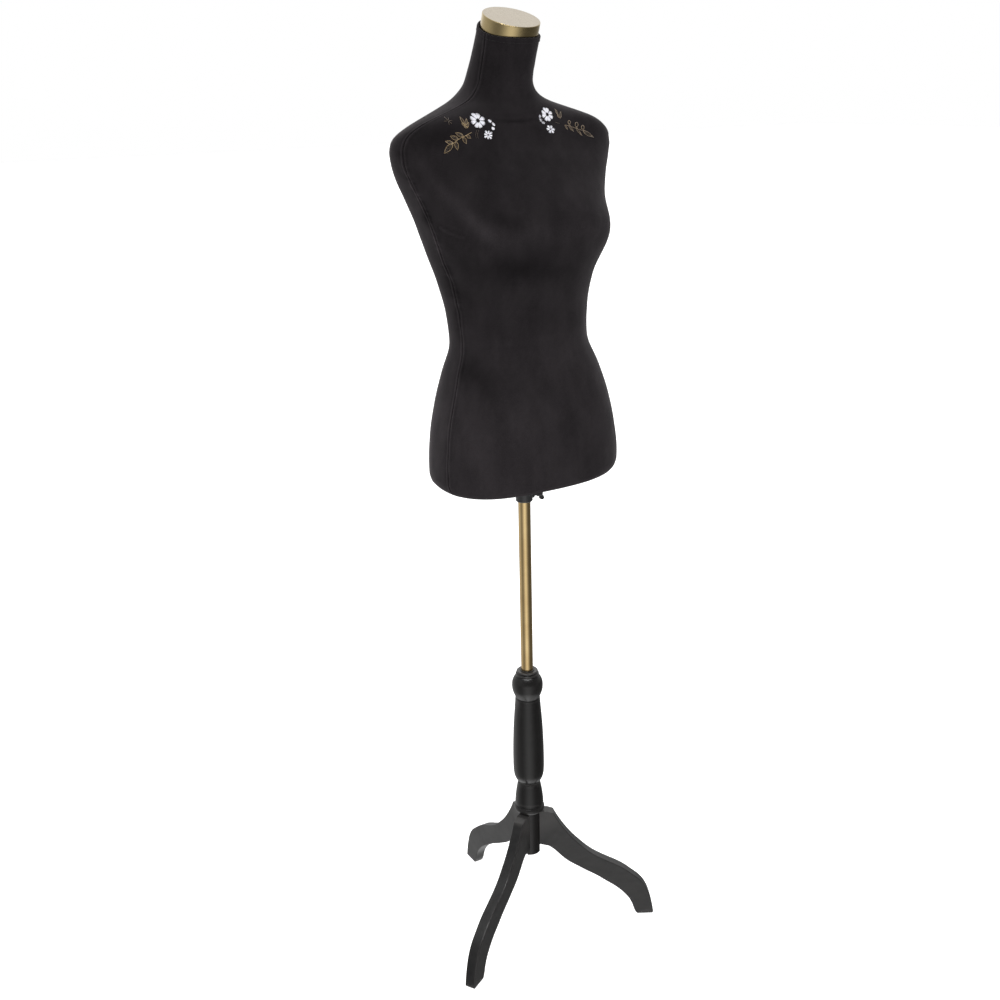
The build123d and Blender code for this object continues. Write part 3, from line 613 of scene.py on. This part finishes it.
class Threads:
    """Collects short rounded threads laid on the front of the cloth."""

    def __init__(self):
        self.verts, self.faces = [], []

    def tube(self, stations):
        """stations: x, z, height above the cloth and radius, in mm."""
        path, normals = [], []
        for x, z, height, _ in stations:
            origin = Vector((x / 1000 + POLE_X, -0.6 + POLE_Y, z / 1000))
            place, normal, _, _ = CLOTH.ray_cast(origin, Vector((0, 1, 0)))
            if place is None:
                return
            if normal.y >= 0:
                normal = -normal
            path.append(place + normal * (height / 1000))
            normals.append(normal)
        rings = []
        for i, station in enumerate(stations):
            along = (path[min(i + 1, len(path) - 1)] - path[max(i - 1, 0)]).normalized()
            across = along.cross(normals[i]).normalized()
            up = across.cross(along).normalized()
            rings.append(thread_ring(path[i], across, up, station[3] / 1000))
        add_thread(self.verts, self.faces, rings)

    def petal(self, centre, axes, angle, half_angle, inner, outer, count, radius):
        """Wedge of satin stitch: threads running out from the flower's middle.

        inner and outer are shares of the flower's two axes.
        """
        (ux, uz), (vx, vz) = axes
        for i in range(count):
            offset = -1 + 2 * i / (count - 1)
            cos = math.cos(angle + half_angle * offset)
            sin = math.sin(angle + half_angle * offset)
            end = outer * (1 - 0.10 * abs(offset) ** 3) * (1 + RNG.normal() * 0.012)
            begin = inner * (1 + 0.25 * abs(offset)) + (0.16 if i % 2 else 0.0)
            stations = []
            for j in range(7):
                t = j / 6
                r = begin + (end - begin) * t
                height = 0.75 * (0.30 + 0.70 * arch(t, margin=0.05, power=0.5))
                stations.append((centre[0] + r * (cos * ux + sin * vx),
                                 centre[1] + r * (cos * uz + sin * vz),
                                 height * (1 - 0.40 * offset * offset),
                                 radius * (0.45 + 0.55 * arch(t, margin=0.08, power=0.4))))
            self.tube(stations)

    def leaves(self, rows, radius, filling):
        """Outlined leaves: two arched sides each, with three thinner filling threads.

        rows: x and z of the root, x and z of the tip, width
        """
        for x, z, tip_x, tip_z, width in rows:
            dx, dz = tip_x - x, tip_z - z
            length = math.hypot(dx, dz)
            side_x, side_z = -dz / length * width / 2, dx / length * width / 2
            for sign in (-1, 1):
                stations = []
                for j in range(10):
                    t = j / 9
                    out = sign * math.sin(math.pi * min(t, 0.985) ** 0.85)
                    stations.append((x + dx * t + side_x * out, z + dz * t + side_z * out,
                                     0.34 + 0.10 * math.sin(j * 2.4), radius * (1.0 - 0.45 * t)))
                self.tube(stations)
            for share in (-0.5, 0.0, 0.5):
                stations = []
                for j in range(6):
                    t = 0.10 + 0.78 * j / 5
                    out = share * math.sin(math.pi * t)
                    stations.append((x + dx * t + side_x * out, z + dz * t + side_z * out,
                                     0.20, radius * 0.62))
                filling.tube(stations)

    def line(self, points, radius, height=0.35):
        """Stem stitch through (x, z) points, waving a little in height."""
        stations = []
        for i, ((x, z), (next_x, next_z)) in enumerate(zip(points[:-1], points[1:])):
            for j in range(4):
                t = j / 4
                stations.append((x + (next_x - x) * t, z + (next_z - z) * t,
                                 height + 0.14 * math.sin((i * 4 + j) * 2.2), radius))
        stations.append((*points[-1], height, radius))
        self.tube(stations)

    def loop(self, x, z, size, radius):
        """Slightly tall ring of thread."""
        self.tube([(x + size * math.cos(a), z + size * 1.05 * math.sin(a), 0.4, radius)
                   for a in np.linspace(0.3, 0.3 + 2 * math.pi, 15)])

    def make(self, name):
        return torso_object(name, self.verts, self.faces)


def petal_ring(count, first, nudges=(0,)):
    """Evenly spaced petal angles in degrees, each nudged a little."""
    return [360 // count * k + first + nudges[k % len(nudges)] for k in range(count)]


# centre, the flower's two axes, petal angles, half angle of a petal, inner end,
# outer ends of even and odd petals, threads in a petal, thread radius
BLOSSOMS = (
    # figure's right shoulder
    ((-82.0, 1501.6), ((7.8, -8.8), (-9.0, -6.8)),
     petal_ring(8, 20, (3, -2, 2, -2, 2, -3, 0, 2)), 16.5, 0.24, (1.0, 1.0), 9, 0.33),
    ((-61.5, 1494.7), ((7.1, -6.9), (-4.8, -4.2)),
     (-130, -66, 16), 21, 0.36, (1.0, 1.0), 8, 0.33),
    ((-66.4, 1479.9), ((5.9, -5.6), (-5.9, -4.8)),
     petal_ring(8, 10), 12, 0.16, (1.0, 0.86), 5, 0.33),
    # figure's left shoulder
    ((44.9, 1506.7), ((4.6, -9.6), (-9.6, -4.2)),
     petal_ring(8, 8, (3, -2, 2, -3, 3, -2, 0, 2)), 16.0, 0.24, (1.0, 1.0), 9, 0.33),
    ((38.1, 1501.0), ((5.4, -8.5), (-9.0, -3.6)),
     (138, 96, 52), 17, 0.55, (1.0, 1.0), 6, 0.36),
    ((49.1, 1484.1), ((6.4, -5.8), (-5.2, -3.5)),
     petal_ring(6, 6), 17, 0.16, (0.98, 0.98), 6, 0.33),
)


def blossoms(white):
    for centre, axes, angles, half_angle, inner, outers, count, radius in BLOSSOMS:
        for i, angle in enumerate(angles):
            white.petal(centre, axes, math.radians(angle), math.radians(half_angle),
                        inner, outers[i % 2], count, radius)


def right_shoulder(gold, bronze):
    star_x, star_z = -127.4, 1502.4
    for degrees in (95, 52, 2, -52, -100, 185):
        cos, sin = math.cos(math.radians(degrees)), math.sin(math.radians(degrees))
        bronze.line([(star_x + 0.8 * cos, star_z + 0.8 * sin),
                     (star_x + 5.8 * cos, star_z + 5.6 * sin)], radius=0.30)
    # upper sprig
    gold.line([(-100.1, 1491.4), (-104.2, 1494.8), (-107.0, 1499.0)], radius=0.32)
    gold.leaves((
        (-106.1, 1497.4, -107.2, 1507.9, 3.9), (-103.9, 1494.8, -109.2, 1499.0, 3.0),
        (-103.6, 1495.3, -99.2, 1505.2, 3.4), (-101.1, 1492.1, -97.7, 1500.0, 3.2),
        (-100.5, 1491.9, -106.0, 1493.7, 2.8)), radius=0.32, filling=bronze)
    # pair of short stems
    for dx in (0, 3.2):
        bronze.line([(-85.9 + dx, 1487.2), (-88.0 + dx, 1481.3), (-87.4 + dx, 1475.5)],
                    radius=0.24)
    # long lower sprig
    gold.line([(-94.2, 1484.6), (-103.4, 1480.6), (-109.3, 1478.3), (-116.5, 1474.9),
               (-125.1, 1470.0), (-126.7, 1468.9)], radius=0.34)
    gold.leaves((
        (-108.1, 1478.9, -120.8, 1485.0, 5.2), (-103.2, 1480.8, -96.3, 1475.9, 4.4),
        (-108.8, 1477.9, -104.8, 1467.9, 5.2), (-116.7, 1474.9, -129.3, 1480.2, 5.7),
        (-125.7, 1469.7, -137.7, 1472.7, 4.8), (-120.9, 1472.1, -121.5, 1459.3, 6.0),
        (-126.4, 1469.2, -142.7, 1455.3, 6.9)), radius=0.36, filling=bronze)


def left_shoulder(old_gold, bronze):
    # upper sprig
    old_gold.leaves((
        (66.1, 1505.2, 65.4, 1514.5, 3.2), (68.9, 1500.3, 75.0, 1510.3, 3.5),
        (66.7, 1501.2, 65.4, 1506.4, 2.5)), radius=0.30, filling=bronze)
    old_gold.line([(69.3, 1499.8), (66.2, 1503.8), (64.0, 1509.3)], radius=0.28)
    bronze.line([(58.6, 1494.7), (61.9, 1493.5), (66.5, 1492.4)], radius=0.24)
    # long sprig with stalked rings above it and leaves below
    old_gold.line([(77.6, 1489.7), (87.8, 1487.9), (100.9, 1483.5), (115.8, 1479.4)],
                  radius=0.30)
    for x, z, size in ((87.3, 1493.4, 2.6), (102.7, 1489.4, 3.3), (116.0, 1484.5, 3.1)):
        old_gold.loop(x, z, size, radius=0.36)
        old_gold.line([(x + 0.5, z - size), (x + 1.8, z - size - 3.0)], radius=0.28)
    old_gold.leaves((
        (85.5, 1489.6, 95.9, 1478.6, 3.5), (77.9, 1489.4, 83.3, 1482.2, 2.7),
        (100.9, 1485.1, 113.0, 1471.6, 3.7), (115.5, 1479.4, 138.7, 1467.7, 5.7)),
        radius=0.34, filling=bronze)


white_threads, gold_threads, old_threads, bronze_threads = [Threads() for _ in range(4)]
blossoms(white_threads)
right_shoulder(gold_threads, bronze_threads)
left_shoulder(old_threads, bronze_threads)
white_embroidery = white_threads.make("embroidery_blossoms")
gold_embroidery = gold_threads.make("embroidery_leaves_right")
old_embroidery = old_threads.make("embroidery_leaves_left")
bronze_embroidery = bronze_threads.make("embroidery_fine_sprigs")

# Hand-sewn running stitch round the neck hem, metres
STITCH_DROP, STITCH_PITCH = 0.0080, 0.0046          # below the rim, along it
STITCH_RADIUS, STITCH_LIFT = 0.00028, 0.00045
STITCH_CENTRE_Y = POLE_Y + 0.02                     # the stitches stand out from here


def stitch_line(grid):
    """Points of the cloth STITCH_DROP below its upper edge, and the distance along them."""
    down = grid[::-1]
    row = np.argmax(travelled(down, axis=0)[1:] > STITCH_DROP, axis=0) + 1
    line = down[row, np.arange(grid.shape[1])]
    return line, travelled(line, axis=0)


def hem_stitches():
    verts, faces = [], []
    for grid in (front_grid, back_grid):
        line, run = stitch_line(grid)
        count = int(run[-1] / STITCH_PITCH)
        for k in range(count):
            start, end = [
                np.array([np.interp((k + share) * run[-1] / count, run, line[:, axis])
                          for axis in range(3)]) for share in (0.2, 0.8)]
            out = (start + end) / 2 - np.array([POLE_X, STITCH_CENTRE_Y, 0.0])
            out[2] = 0
            out /= np.linalg.norm(out)
            up = np.cross(out, (end - start) / np.linalg.norm(end - start))
            rings = [thread_ring(start + (end - start) * t + out * lift, out, up, STITCH_RADIUS)
                     for t, lift in ((0, 0.0), (0.5, STITCH_LIFT), (1, 0.0))]
            add_thread(verts, faces, rings)
    return torso_object("hem_stitches", verts, faces)


stitches = hem_stitches()


# --------------------------------------------------------------------------
# Materials
# --------------------------------------------------------------------------
class Shader:
    """Adds nodes to one node tree."""

    def __init__(self, tree):
        self.tree = tree

    def feed(self, socket, source):
        """Link or set an input; colours may be given without alpha."""
        if isinstance(source, bpy.types.NodeSocket):
            self.tree.links.new(source, socket)
        elif socket.type == "RGBA" and len(source) == 3:
            socket.default_value = (*source, 1.0)
        else:
            socket.default_value = source

    def node(self, kind, inputs=None, **settings):
        new = self.tree.nodes.new("ShaderNode" + kind)
        for name, setting in settings.items():
            setattr(new, name, setting)
        for key, source in (inputs or {}).items():
            self.feed(new.inputs[key], source)
        return new

    def math(self, operation, first, second):
        return self.node("Math", {0: first, 1: second}, operation=operation).outputs[0]

    def total(self, first, *others):
        for other in others:
            first = self.math("ADD", first, other)
        return first

    def stretched(self, vector, scale):
        return self.node("Mapping", {"Vector": vector, "Scale": scale}).outputs[0]

    def noise(self, vector, scale, detail=3.0, roughness=0.55):
        return self.node("TexNoise", {"Vector": vector, "Scale": scale, "Detail": detail,
                                      "Roughness": roughness}).outputs["Fac"]

    def remap(self, source, onto=(0.0, 1.0), over=(0.3, 0.7)):
        """Map the range over to the range onto, clamped."""
        return self.node("MapRange", {"Value": source, "From Min": over[0],
                                      "From Max": over[1], "To Min": onto[0],
                                      "To Max": onto[1]}).outputs[0]

    def mix(self, factor, first, second):
        return self.node("Mix", {0: factor, 6: first, 7: second}, data_type="RGBA").outputs[2]

    def mix_floats(self, factor, first, second):
        return self.node("Mix", {0: factor, 2: first, 3: second}, data_type="FLOAT").outputs[0]

    def bump(self, height, strength, distance, **under):
        """Bump normal; Normal= gives a bump to layer it over."""
        inputs = {"Height": height, "Strength": strength, "Distance": distance, **under}
        return self.node("Bump", inputs).outputs[0]


class Surface(Shader):
    """A new material with its principled shader and object coordinates."""

    def __init__(self, name):
        self.material = bpy.data.materials.new(name)
        self.material.use_nodes = True
        super().__init__(self.material.node_tree)
        self.bsdf = self.tree.nodes["Principled BSDF"]
        self.coords = self.node("TexCoord").outputs["Object"]

    def set(self, inputs):
        for name, source in inputs.items():
            self.feed(self.bsdf.inputs[name], source)
        return self.material


def velvet(name, dark, light, sheen, tint, nap_and_painted_light=None):
    """Pile cloth; its last argument names an attribute, of mottling with painted highlights and
    painted shade, that scales its colour and sheen.
    """
    s = Surface(name)
    patch = s.noise(s.stretched(s.coords, (1.0, 1.0, 0.45)), 26.0, detail=4.0, roughness=0.6)
    tufts = s.noise(s.stretched(s.coords, (1.0, 1.0, 0.55)), 900.0, detail=2.0, roughness=0.7)
    fibre = s.noise(s.stretched(s.coords, (1.0, 1.0, 0.3)), 2600.0, detail=1.0, roughness=0.6)
    colour = s.mix(s.remap(patch, over=(0.38, 0.62)), dark, light)
    colour = s.mix(s.remap(tufts, onto=(0.0, 0.42), over=(0.35, 0.7)), colour,
                   tuple(c * 1.6 for c in light))
    amount = s.remap(patch, onto=(sheen * 0.85, sheen * 1.1), over=(0.35, 0.65))
    if nap_and_painted_light:
        # per-point pile mottling with painted highlights and painted shade
        lay_and_painted_light = s.node("Attribute", attribute_name=nap_and_painted_light).outputs["Fac"]
        colour = s.node("VectorMath", {0: colour, "Scale": lay_and_painted_light}, operation="SCALE").outputs[0]
        amount = s.math("MULTIPLY", amount, lay_and_painted_light)
    under = s.bump(tufts, strength=0.30, distance=0.0004)
    return s.set({
        "Base Color": colour,
        "Roughness": s.remap(patch, onto=(0.80, 0.95)),
        "Specular IOR Level": 0.05,
        "Sheen Weight": amount,
        "Sheen Roughness": 0.38,
        "Sheen Tint": tint,
        "Normal": s.bump(fibre, strength=0.25, distance=0.00015, Normal=under)})


def black_wood(name, stretch, specular, coat, tone):
    """Painted wood with faint grain and a paler colour on sharp edges."""
    s = Surface(name)
    grain = s.noise(s.stretched(s.coords, stretch), 60.0, detail=5.0, roughness=0.6)
    blotch = s.noise(s.coords, 18.0)
    fine = s.noise(s.coords, 420.0, detail=2.0)
    pointiness = s.node("NewGeometry").outputs["Pointiness"]
    edge = s.remap(pointiness, over=(0.505, 0.56))
    colour = s.mix(s.remap(grain), tuple(0.0100 * c for c in tone),
                   tuple(0.0180 * c for c in tone))
    colour = s.mix(s.remap(edge, onto=(0.0, 0.55), over=(0.0, 1.0)), colour,
                   (0.060, 0.057, 0.055))
    under = s.bump(grain, strength=0.14, distance=0.0006)
    return s.set({
        "Base Color": colour,
        "Roughness": s.remap(blotch, onto=(0.36, 0.50)),
        "Specular IOR Level": specular,
        "Coat Weight": coat,
        "Coat Roughness": 0.16,
        "Normal": s.bump(fine, strength=0.06, distance=0.0002, Normal=under)})


def metal_surface(name, dark, light, roughness, stretch=(1, 1, 1), scale=120.0):
    s = Surface(name)
    streak = s.noise(s.stretched(s.coords, stretch), scale, detail=4.0, roughness=0.6)
    cloud = s.noise(s.coords, 22.0)
    s.set({
        "Base Color": s.mix(s.remap(cloud), dark, light),
        "Metallic": 1.0,
        "Roughness": s.remap(streak, onto=roughness),
        "Normal": s.bump(streak, strength=0.05, distance=0.0002)})
    return s


def satin_gold():
    """Neck cap: gold sides and a brushed top whose greyer colour is painted light from above."""
    s = metal_surface("satin_gold", dark=(0.385, 0.298, 0.146), light=(0.460, 0.362, 0.186),
                      roughness=(0.19, 0.29), scale=180.0)
    side_colour = s.bsdf.inputs["Base Color"].links[0].from_socket
    coords = s.node("TexCoord")
    cap_axis = (0.0, -math.sin(CAP_TILT), math.cos(CAP_TILT))
    facing = s.node("VectorMath", {0: coords.outputs["Normal"], 1: cap_axis},
                    operation="DOT_PRODUCT").outputs["Value"]
    brushed = s.noise(s.stretched(coords.outputs["Object"], (1.0, 0.08, 0.08)), 420.0,
                      detail=4.0, roughness=0.6)
    # painted light from above: the top gets a greyer copy of the gold
    painted_light_top_colour = s.mix(s.remap(brushed), (0.292, 0.247, 0.178), (0.336, 0.286, 0.209))
    painted_light_top_share = s.remap(facing, over=(0.80, 0.97))
    return s.set({"Base Color": s.mix(painted_light_top_share, side_colour, painted_light_top_colour)})


def dielectric(name, dark, light, roughness, scale, bump, depth=0.0004, specular=0.5):
    s = Surface(name)
    coarse = s.noise(s.coords, scale, detail=4.0, roughness=0.6)
    fine = s.noise(s.coords, scale * 6, detail=2.0, roughness=0.6)
    return s.set({
        "Base Color": s.mix(s.remap(coarse), dark, light),
        "Roughness": s.remap(coarse, onto=roughness),
        "Specular IOR Level": specular,
        "Normal": s.bump(fine, strength=bump, distance=depth)})


def thread(name, dark, light, roughness, metallic=0.2, sheen=0.3):
    """Twisted floss."""
    s = Surface(name)
    twist = s.node("TexWave", {"Vector": s.coords, "Scale": 900.0, "Distortion": 2.0},
                   wave_type="BANDS", bands_direction="DIAGONAL").outputs["Fac"]
    return s.set({
        "Base Color": s.mix(s.remap(s.noise(s.coords, 220.0, detail=2.0)), dark, light),
        "Roughness": roughness,
        "Metallic": metallic,
        "Sheen Weight": sheen,
        "Normal": s.bump(twist, strength=0.25, distance=0.0001)})


def timber(name):
    s = Surface(name)
    grain = s.noise(s.stretched(s.coords, (1.0, 9.0, 1.0)), 22.0, detail=6.0, roughness=0.65)
    pores = s.noise(s.stretched(s.coords, (1.0, 14.0, 1.0)), 160.0)
    return s.set({
        "Base Color": s.mix(s.remap(grain), (0.42, 0.27, 0.14), (0.62, 0.45, 0.27)),
        "Roughness": s.remap(pores, onto=(0.55, 0.8)),
        "Normal": s.bump(pores, strength=0.2, distance=0.0004)})


def paint(material, *objects):
    for ob in objects:
        # CAD pieces keep their slots, all filled with the same material
        if not ob.get("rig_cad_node"):
            ob.data.materials.clear()
        if not ob.material_slots:
            ob.data.materials.append(material)
        for slot in ob.material_slots:
            slot.material = material


def paint_cad(material, *names):
    paint(material, *(NODES[name] for name in names))


cover_velvet = velvet("black_velvet", dark=(0.0106, 0.0092, 0.0101),
                      light=(0.0156, 0.0136, 0.0148), sheen=0.106,
                      tint=(0.93, 0.868, 0.90), nap_and_painted_light="nap_and_painted_light")
paint(cover_velvet, front, back)
paint_cad(cover_velvet, "cover_front", "cover_back", "bottom_cover")
paint(velvet("black_lining", dark=(0.007, 0.007, 0.007), light=(0.013, 0.013, 0.013),
             sheen=0.08, tint=(0.8, 0.8, 0.8)), base)
paint_cad(black_wood("black_painted_wood_turned", stretch=(1.0, 1.0, 0.12), specular=0.06,
                     coat=0.58, tone=(0.42, 0.39, 0.38)),
          "leg_hub", "baluster")
paint_cad(black_wood("black_painted_wood_legs", stretch=(0.5, 0.5, 1.2), specular=0.18,
                     coat=0.24, tone=(0.86, 0.84, 0.85)),
          "leg_back", "leg_right", "leg_left")
paint_cad(metal_surface("antique_brass", dark=(0.56, 0.40, 0.19), light=(0.66, 0.49, 0.245),
                        roughness=(0.15, 0.25), stretch=(1.0, 1.0, 0.04),
                        scale=260.0).material, "pole")
paint_cad(satin_gold(), "neck_cap")
paint_cad(metal_surface("zinc_steel", dark=(0.42, 0.42, 0.43), light=(0.58, 0.58, 0.59),
                        roughness=(0.28, 0.45)).material,
          "pole_insert", "tie_rod", "sleeve_nut", "retaining_plate", "socket_screws",
          "guide_tube")
paint_cad(dielectric("black_enamel", dark=(0.014, 0.014, 0.015), light=(0.022, 0.022, 0.023),
                     roughness=(0.30, 0.45), scale=140.0, bump=0.05),
          "clamp_shank", "clamp_wing", "pole_socket")
paint_cad(dielectric("black_plastic", dark=(0.012, 0.012, 0.012), light=(0.02, 0.02, 0.02),
                     roughness=(0.4, 0.55), scale=160.0, bump=0.08),
          "pole_ferrule", "pole_top_plug")
paint_cad(dielectric("nylon", dark=(0.62, 0.61, 0.56), light=(0.74, 0.73, 0.68),
                     roughness=(0.35, 0.5), scale=80.0, bump=0.05), "slide_bush")
paint_cad(dielectric("foam", dark=(0.70, 0.66, 0.55), light=(0.80, 0.77, 0.66),
                     roughness=(0.85, 0.95), scale=240.0, bump=0.6, depth=0.0012,
                     specular=0.2), "torso_core")
paint_cad(dielectric("rubber_pad", dark=(0.02, 0.02, 0.02), light=(0.035, 0.035, 0.035),
                     roughness=(0.6, 0.8), scale=200.0, bump=0.2), "foot_pads")
paint_cad(timber("plain_timber"), "base_board", "neck_block", "cap_dowel")
paint(thread("white_floss", dark=(0.72, 0.72, 0.80), light=(0.95, 0.95, 0.98),
             roughness=0.42, metallic=0.0), white_embroidery)
paint(thread("gold_floss", dark=(0.27, 0.185, 0.085), light=(0.52, 0.385, 0.205),
             roughness=0.40), gold_embroidery)
paint(thread("old_gold_floss", dark=(0.17, 0.123, 0.078), light=(0.36, 0.275, 0.180),
             roughness=0.42), old_embroidery)
paint(thread("bronze_floss", dark=(0.055, 0.038, 0.022), light=(0.12, 0.085, 0.05),
             roughness=0.48), bronze_embroidery)
paint(thread("black_thread", dark=(0.006, 0.006, 0.006), light=(0.014, 0.013, 0.013),
             roughness=0.8, metallic=0.0, sheen=0.05), stitches)

# --------------------------------------------------------------------------
# Stage, lights and camera
# --------------------------------------------------------------------------
FLOOR_HALF = 30
CAMERA_PLACE = (-1.08222711, -1.74835918, 1.55679116)    # x and y from the pole's axis
VIEW_RIGHT = (0.85689413, -0.51500431, -0.02242789)
VIEW_UP = (0.18290329, 0.26307211, 0.94728003)
VIEW_FORWARD = (0.48195314, 0.81582083, -0.31962093)
TOWARDS_CAMERA = math.atan2(-VIEW_FORWARD[1], -VIEW_FORWARD[0])


def make_floor():
    """Pale floor that looks white to the camera and stays out of reflections."""
    h = FLOOR_HALF
    floor = mesh_object("floor", [(-h, -h, 0), (h, -h, 0), (h, h, 0), (-h, h, 0)],
                        [(0, 1, 2, 3)], smooth=False)
    s = Surface("pale_floor")
    seen = s.node("LightPath").outputs["Is Camera Ray"]
    paint(s.set({
        "Base Color": s.mix(s.remap(s.noise(s.coords, 3.0)), (0.62, 0.62, 0.62),
                            (0.65, 0.65, 0.65)),
        "Roughness": 0.9,
        "Specular IOR Level": 0.1,
        "Emission Color": (1.0, 1.0, 1.0),
        "Emission Strength": s.remap(seen, onto=(0.0, 0.92), over=(0.0, 1.0))}), floor)
    floor.visible_glossy = False


def make_world():
    """Studio of soft reflectors, white to the camera."""
    world = bpy.data.worlds.new("studio")
    bpy.context.scene.world = world
    world.use_nodes = True
    w = Shader(world.node_tree)
    sky = w.node("TexCoord").outputs["Generated"]
    flat = w.node("VectorMath", {0: sky, 1: (1.0, 1.0, 0.0)}, operation="MULTIPLY").outputs[0]
    flat = w.node("VectorMath", {0: flat}, operation="NORMALIZE").outputs[0]

    def reflector(turn, tight, strength):
        """Soft bright wall, turned from the camera's side by an angle in degrees."""
        angle = TOWARDS_CAMERA + math.radians(turn)
        aim = (math.cos(angle), math.sin(angle), 0.0)
        facing = w.node("VectorMath", {0: flat, 1: aim}, operation="DOT_PRODUCT")
        share = w.remap(facing.outputs["Value"], over=(-1.0, 1.0))
        return w.math("MULTIPLY", w.math("POWER", share, tight), strength)

    z = w.node("SeparateXYZ", {"Vector": sky}).outputs["Z"]
    # walls below and above the horizon, each with an even base level
    low = w.total(reflector(turn=2, tight=10.0, strength=1.10),
                  reflector(turn=-112, tight=7.0, strength=0.60),
                  reflector(turn=180, tight=6.0, strength=0.28), 0.12)
    high = w.total(reflector(turn=180, tight=3.0, strength=1.30),
                   reflector(turn=-75, tight=5.0, strength=0.36),
                   reflector(turn=0, tight=3.0, strength=0.12), 0.10)
    crown = w.remap(z, onto=(0.0, 0.35), over=(0.55, 0.95))
    # wide soft box hung high in front
    box = w.math("MULTIPLY", w.remap(z, over=(0.79, 0.835)),
                 w.remap(z, onto=(1.0, 0.0), over=(0.865, 0.91)))
    box = w.math("MULTIPLY", box, reflector(turn=0, tight=8.0, strength=7.0))
    walls = w.mix_floats(w.remap(z, over=(-0.10, 0.10)), low, high)
    path = w.node("LightPath")
    # what polished surfaces see: the soft box itself and the lit floor right below
    shine = w.total(w.math("MULTIPLY", box, 2.2),
                    w.remap(z, onto=(0.0, 1.4), over=(-0.72, -0.94)))
    shine = w.math("MULTIPLY", shine, path.outputs["Is Glossy Ray"])
    soft = w.total(walls, crown, box, shine)
    background = w.tree.nodes["Background"]
    w.feed(background.inputs["Color"], (1.0, 1.0, 1.0))
    w.feed(background.inputs["Strength"],
           w.mix_floats(path.outputs["Is Camera Ray"], soft, 1.0))


def area(name, place, aim_z, size, power, size_y=None):
    """Area light aimed at height aim_z over (0, POLE_Y), left out of reflections."""
    light = bpy.data.lights.new(name, "AREA")
    light.energy = power
    light.size = size
    if size_y:
        light.shape = "RECTANGLE"
        light.size_y = size_y
    ob = bpy.data.objects.new(name, light)
    ob.location = place
    aim = Vector((0, POLE_Y, aim_z)) - Vector(place)
    ob.rotation_euler = aim.to_track_quat("-Z", "Y").to_euler()
    bpy.context.scene.collection.objects.link(ob)
    ob.visible_glossy = False


def make_camera():
    lens = bpy.data.cameras.new("camera")
    lens.sensor_width = 36.0
    lens.lens = 44.555
    lens.clip_end = 200
    camera = bpy.data.objects.new("camera", lens)
    turn = Matrix((Vector(VIEW_RIGHT), Vector(VIEW_UP), -Vector(VIEW_FORWARD))).transposed()
    x, y, z = CAMERA_PLACE
    camera.matrix_world = Matrix.Translation((x + POLE_X, y + POLE_Y, z)) @ turn.to_4x4()
    bpy.context.scene.collection.objects.link(camera)
    bpy.context.scene.camera = camera


make_floor()
make_world()
area("key", place=(-1.9, -2.6, 1.25), aim_z=1.1, size=1.1, power=40, size_y=1.7)
area("fill", place=(2.0, -2.3, 0.95), aim_z=1.0, size=1.2, power=30, size_y=1.4)
area("rim_left", place=(-1.9, 1.6, 1.7), aim_z=1.3, size=0.9, power=20, size_y=1.6)
area("top", place=(0.1, -0.2, 3.4), aim_z=1.2, size=1.4, power=10)
make_camera()
bpy.context.scene.view_settings.view_transform = "Standard"
bpy.context.scene.view_settings.look = "None"
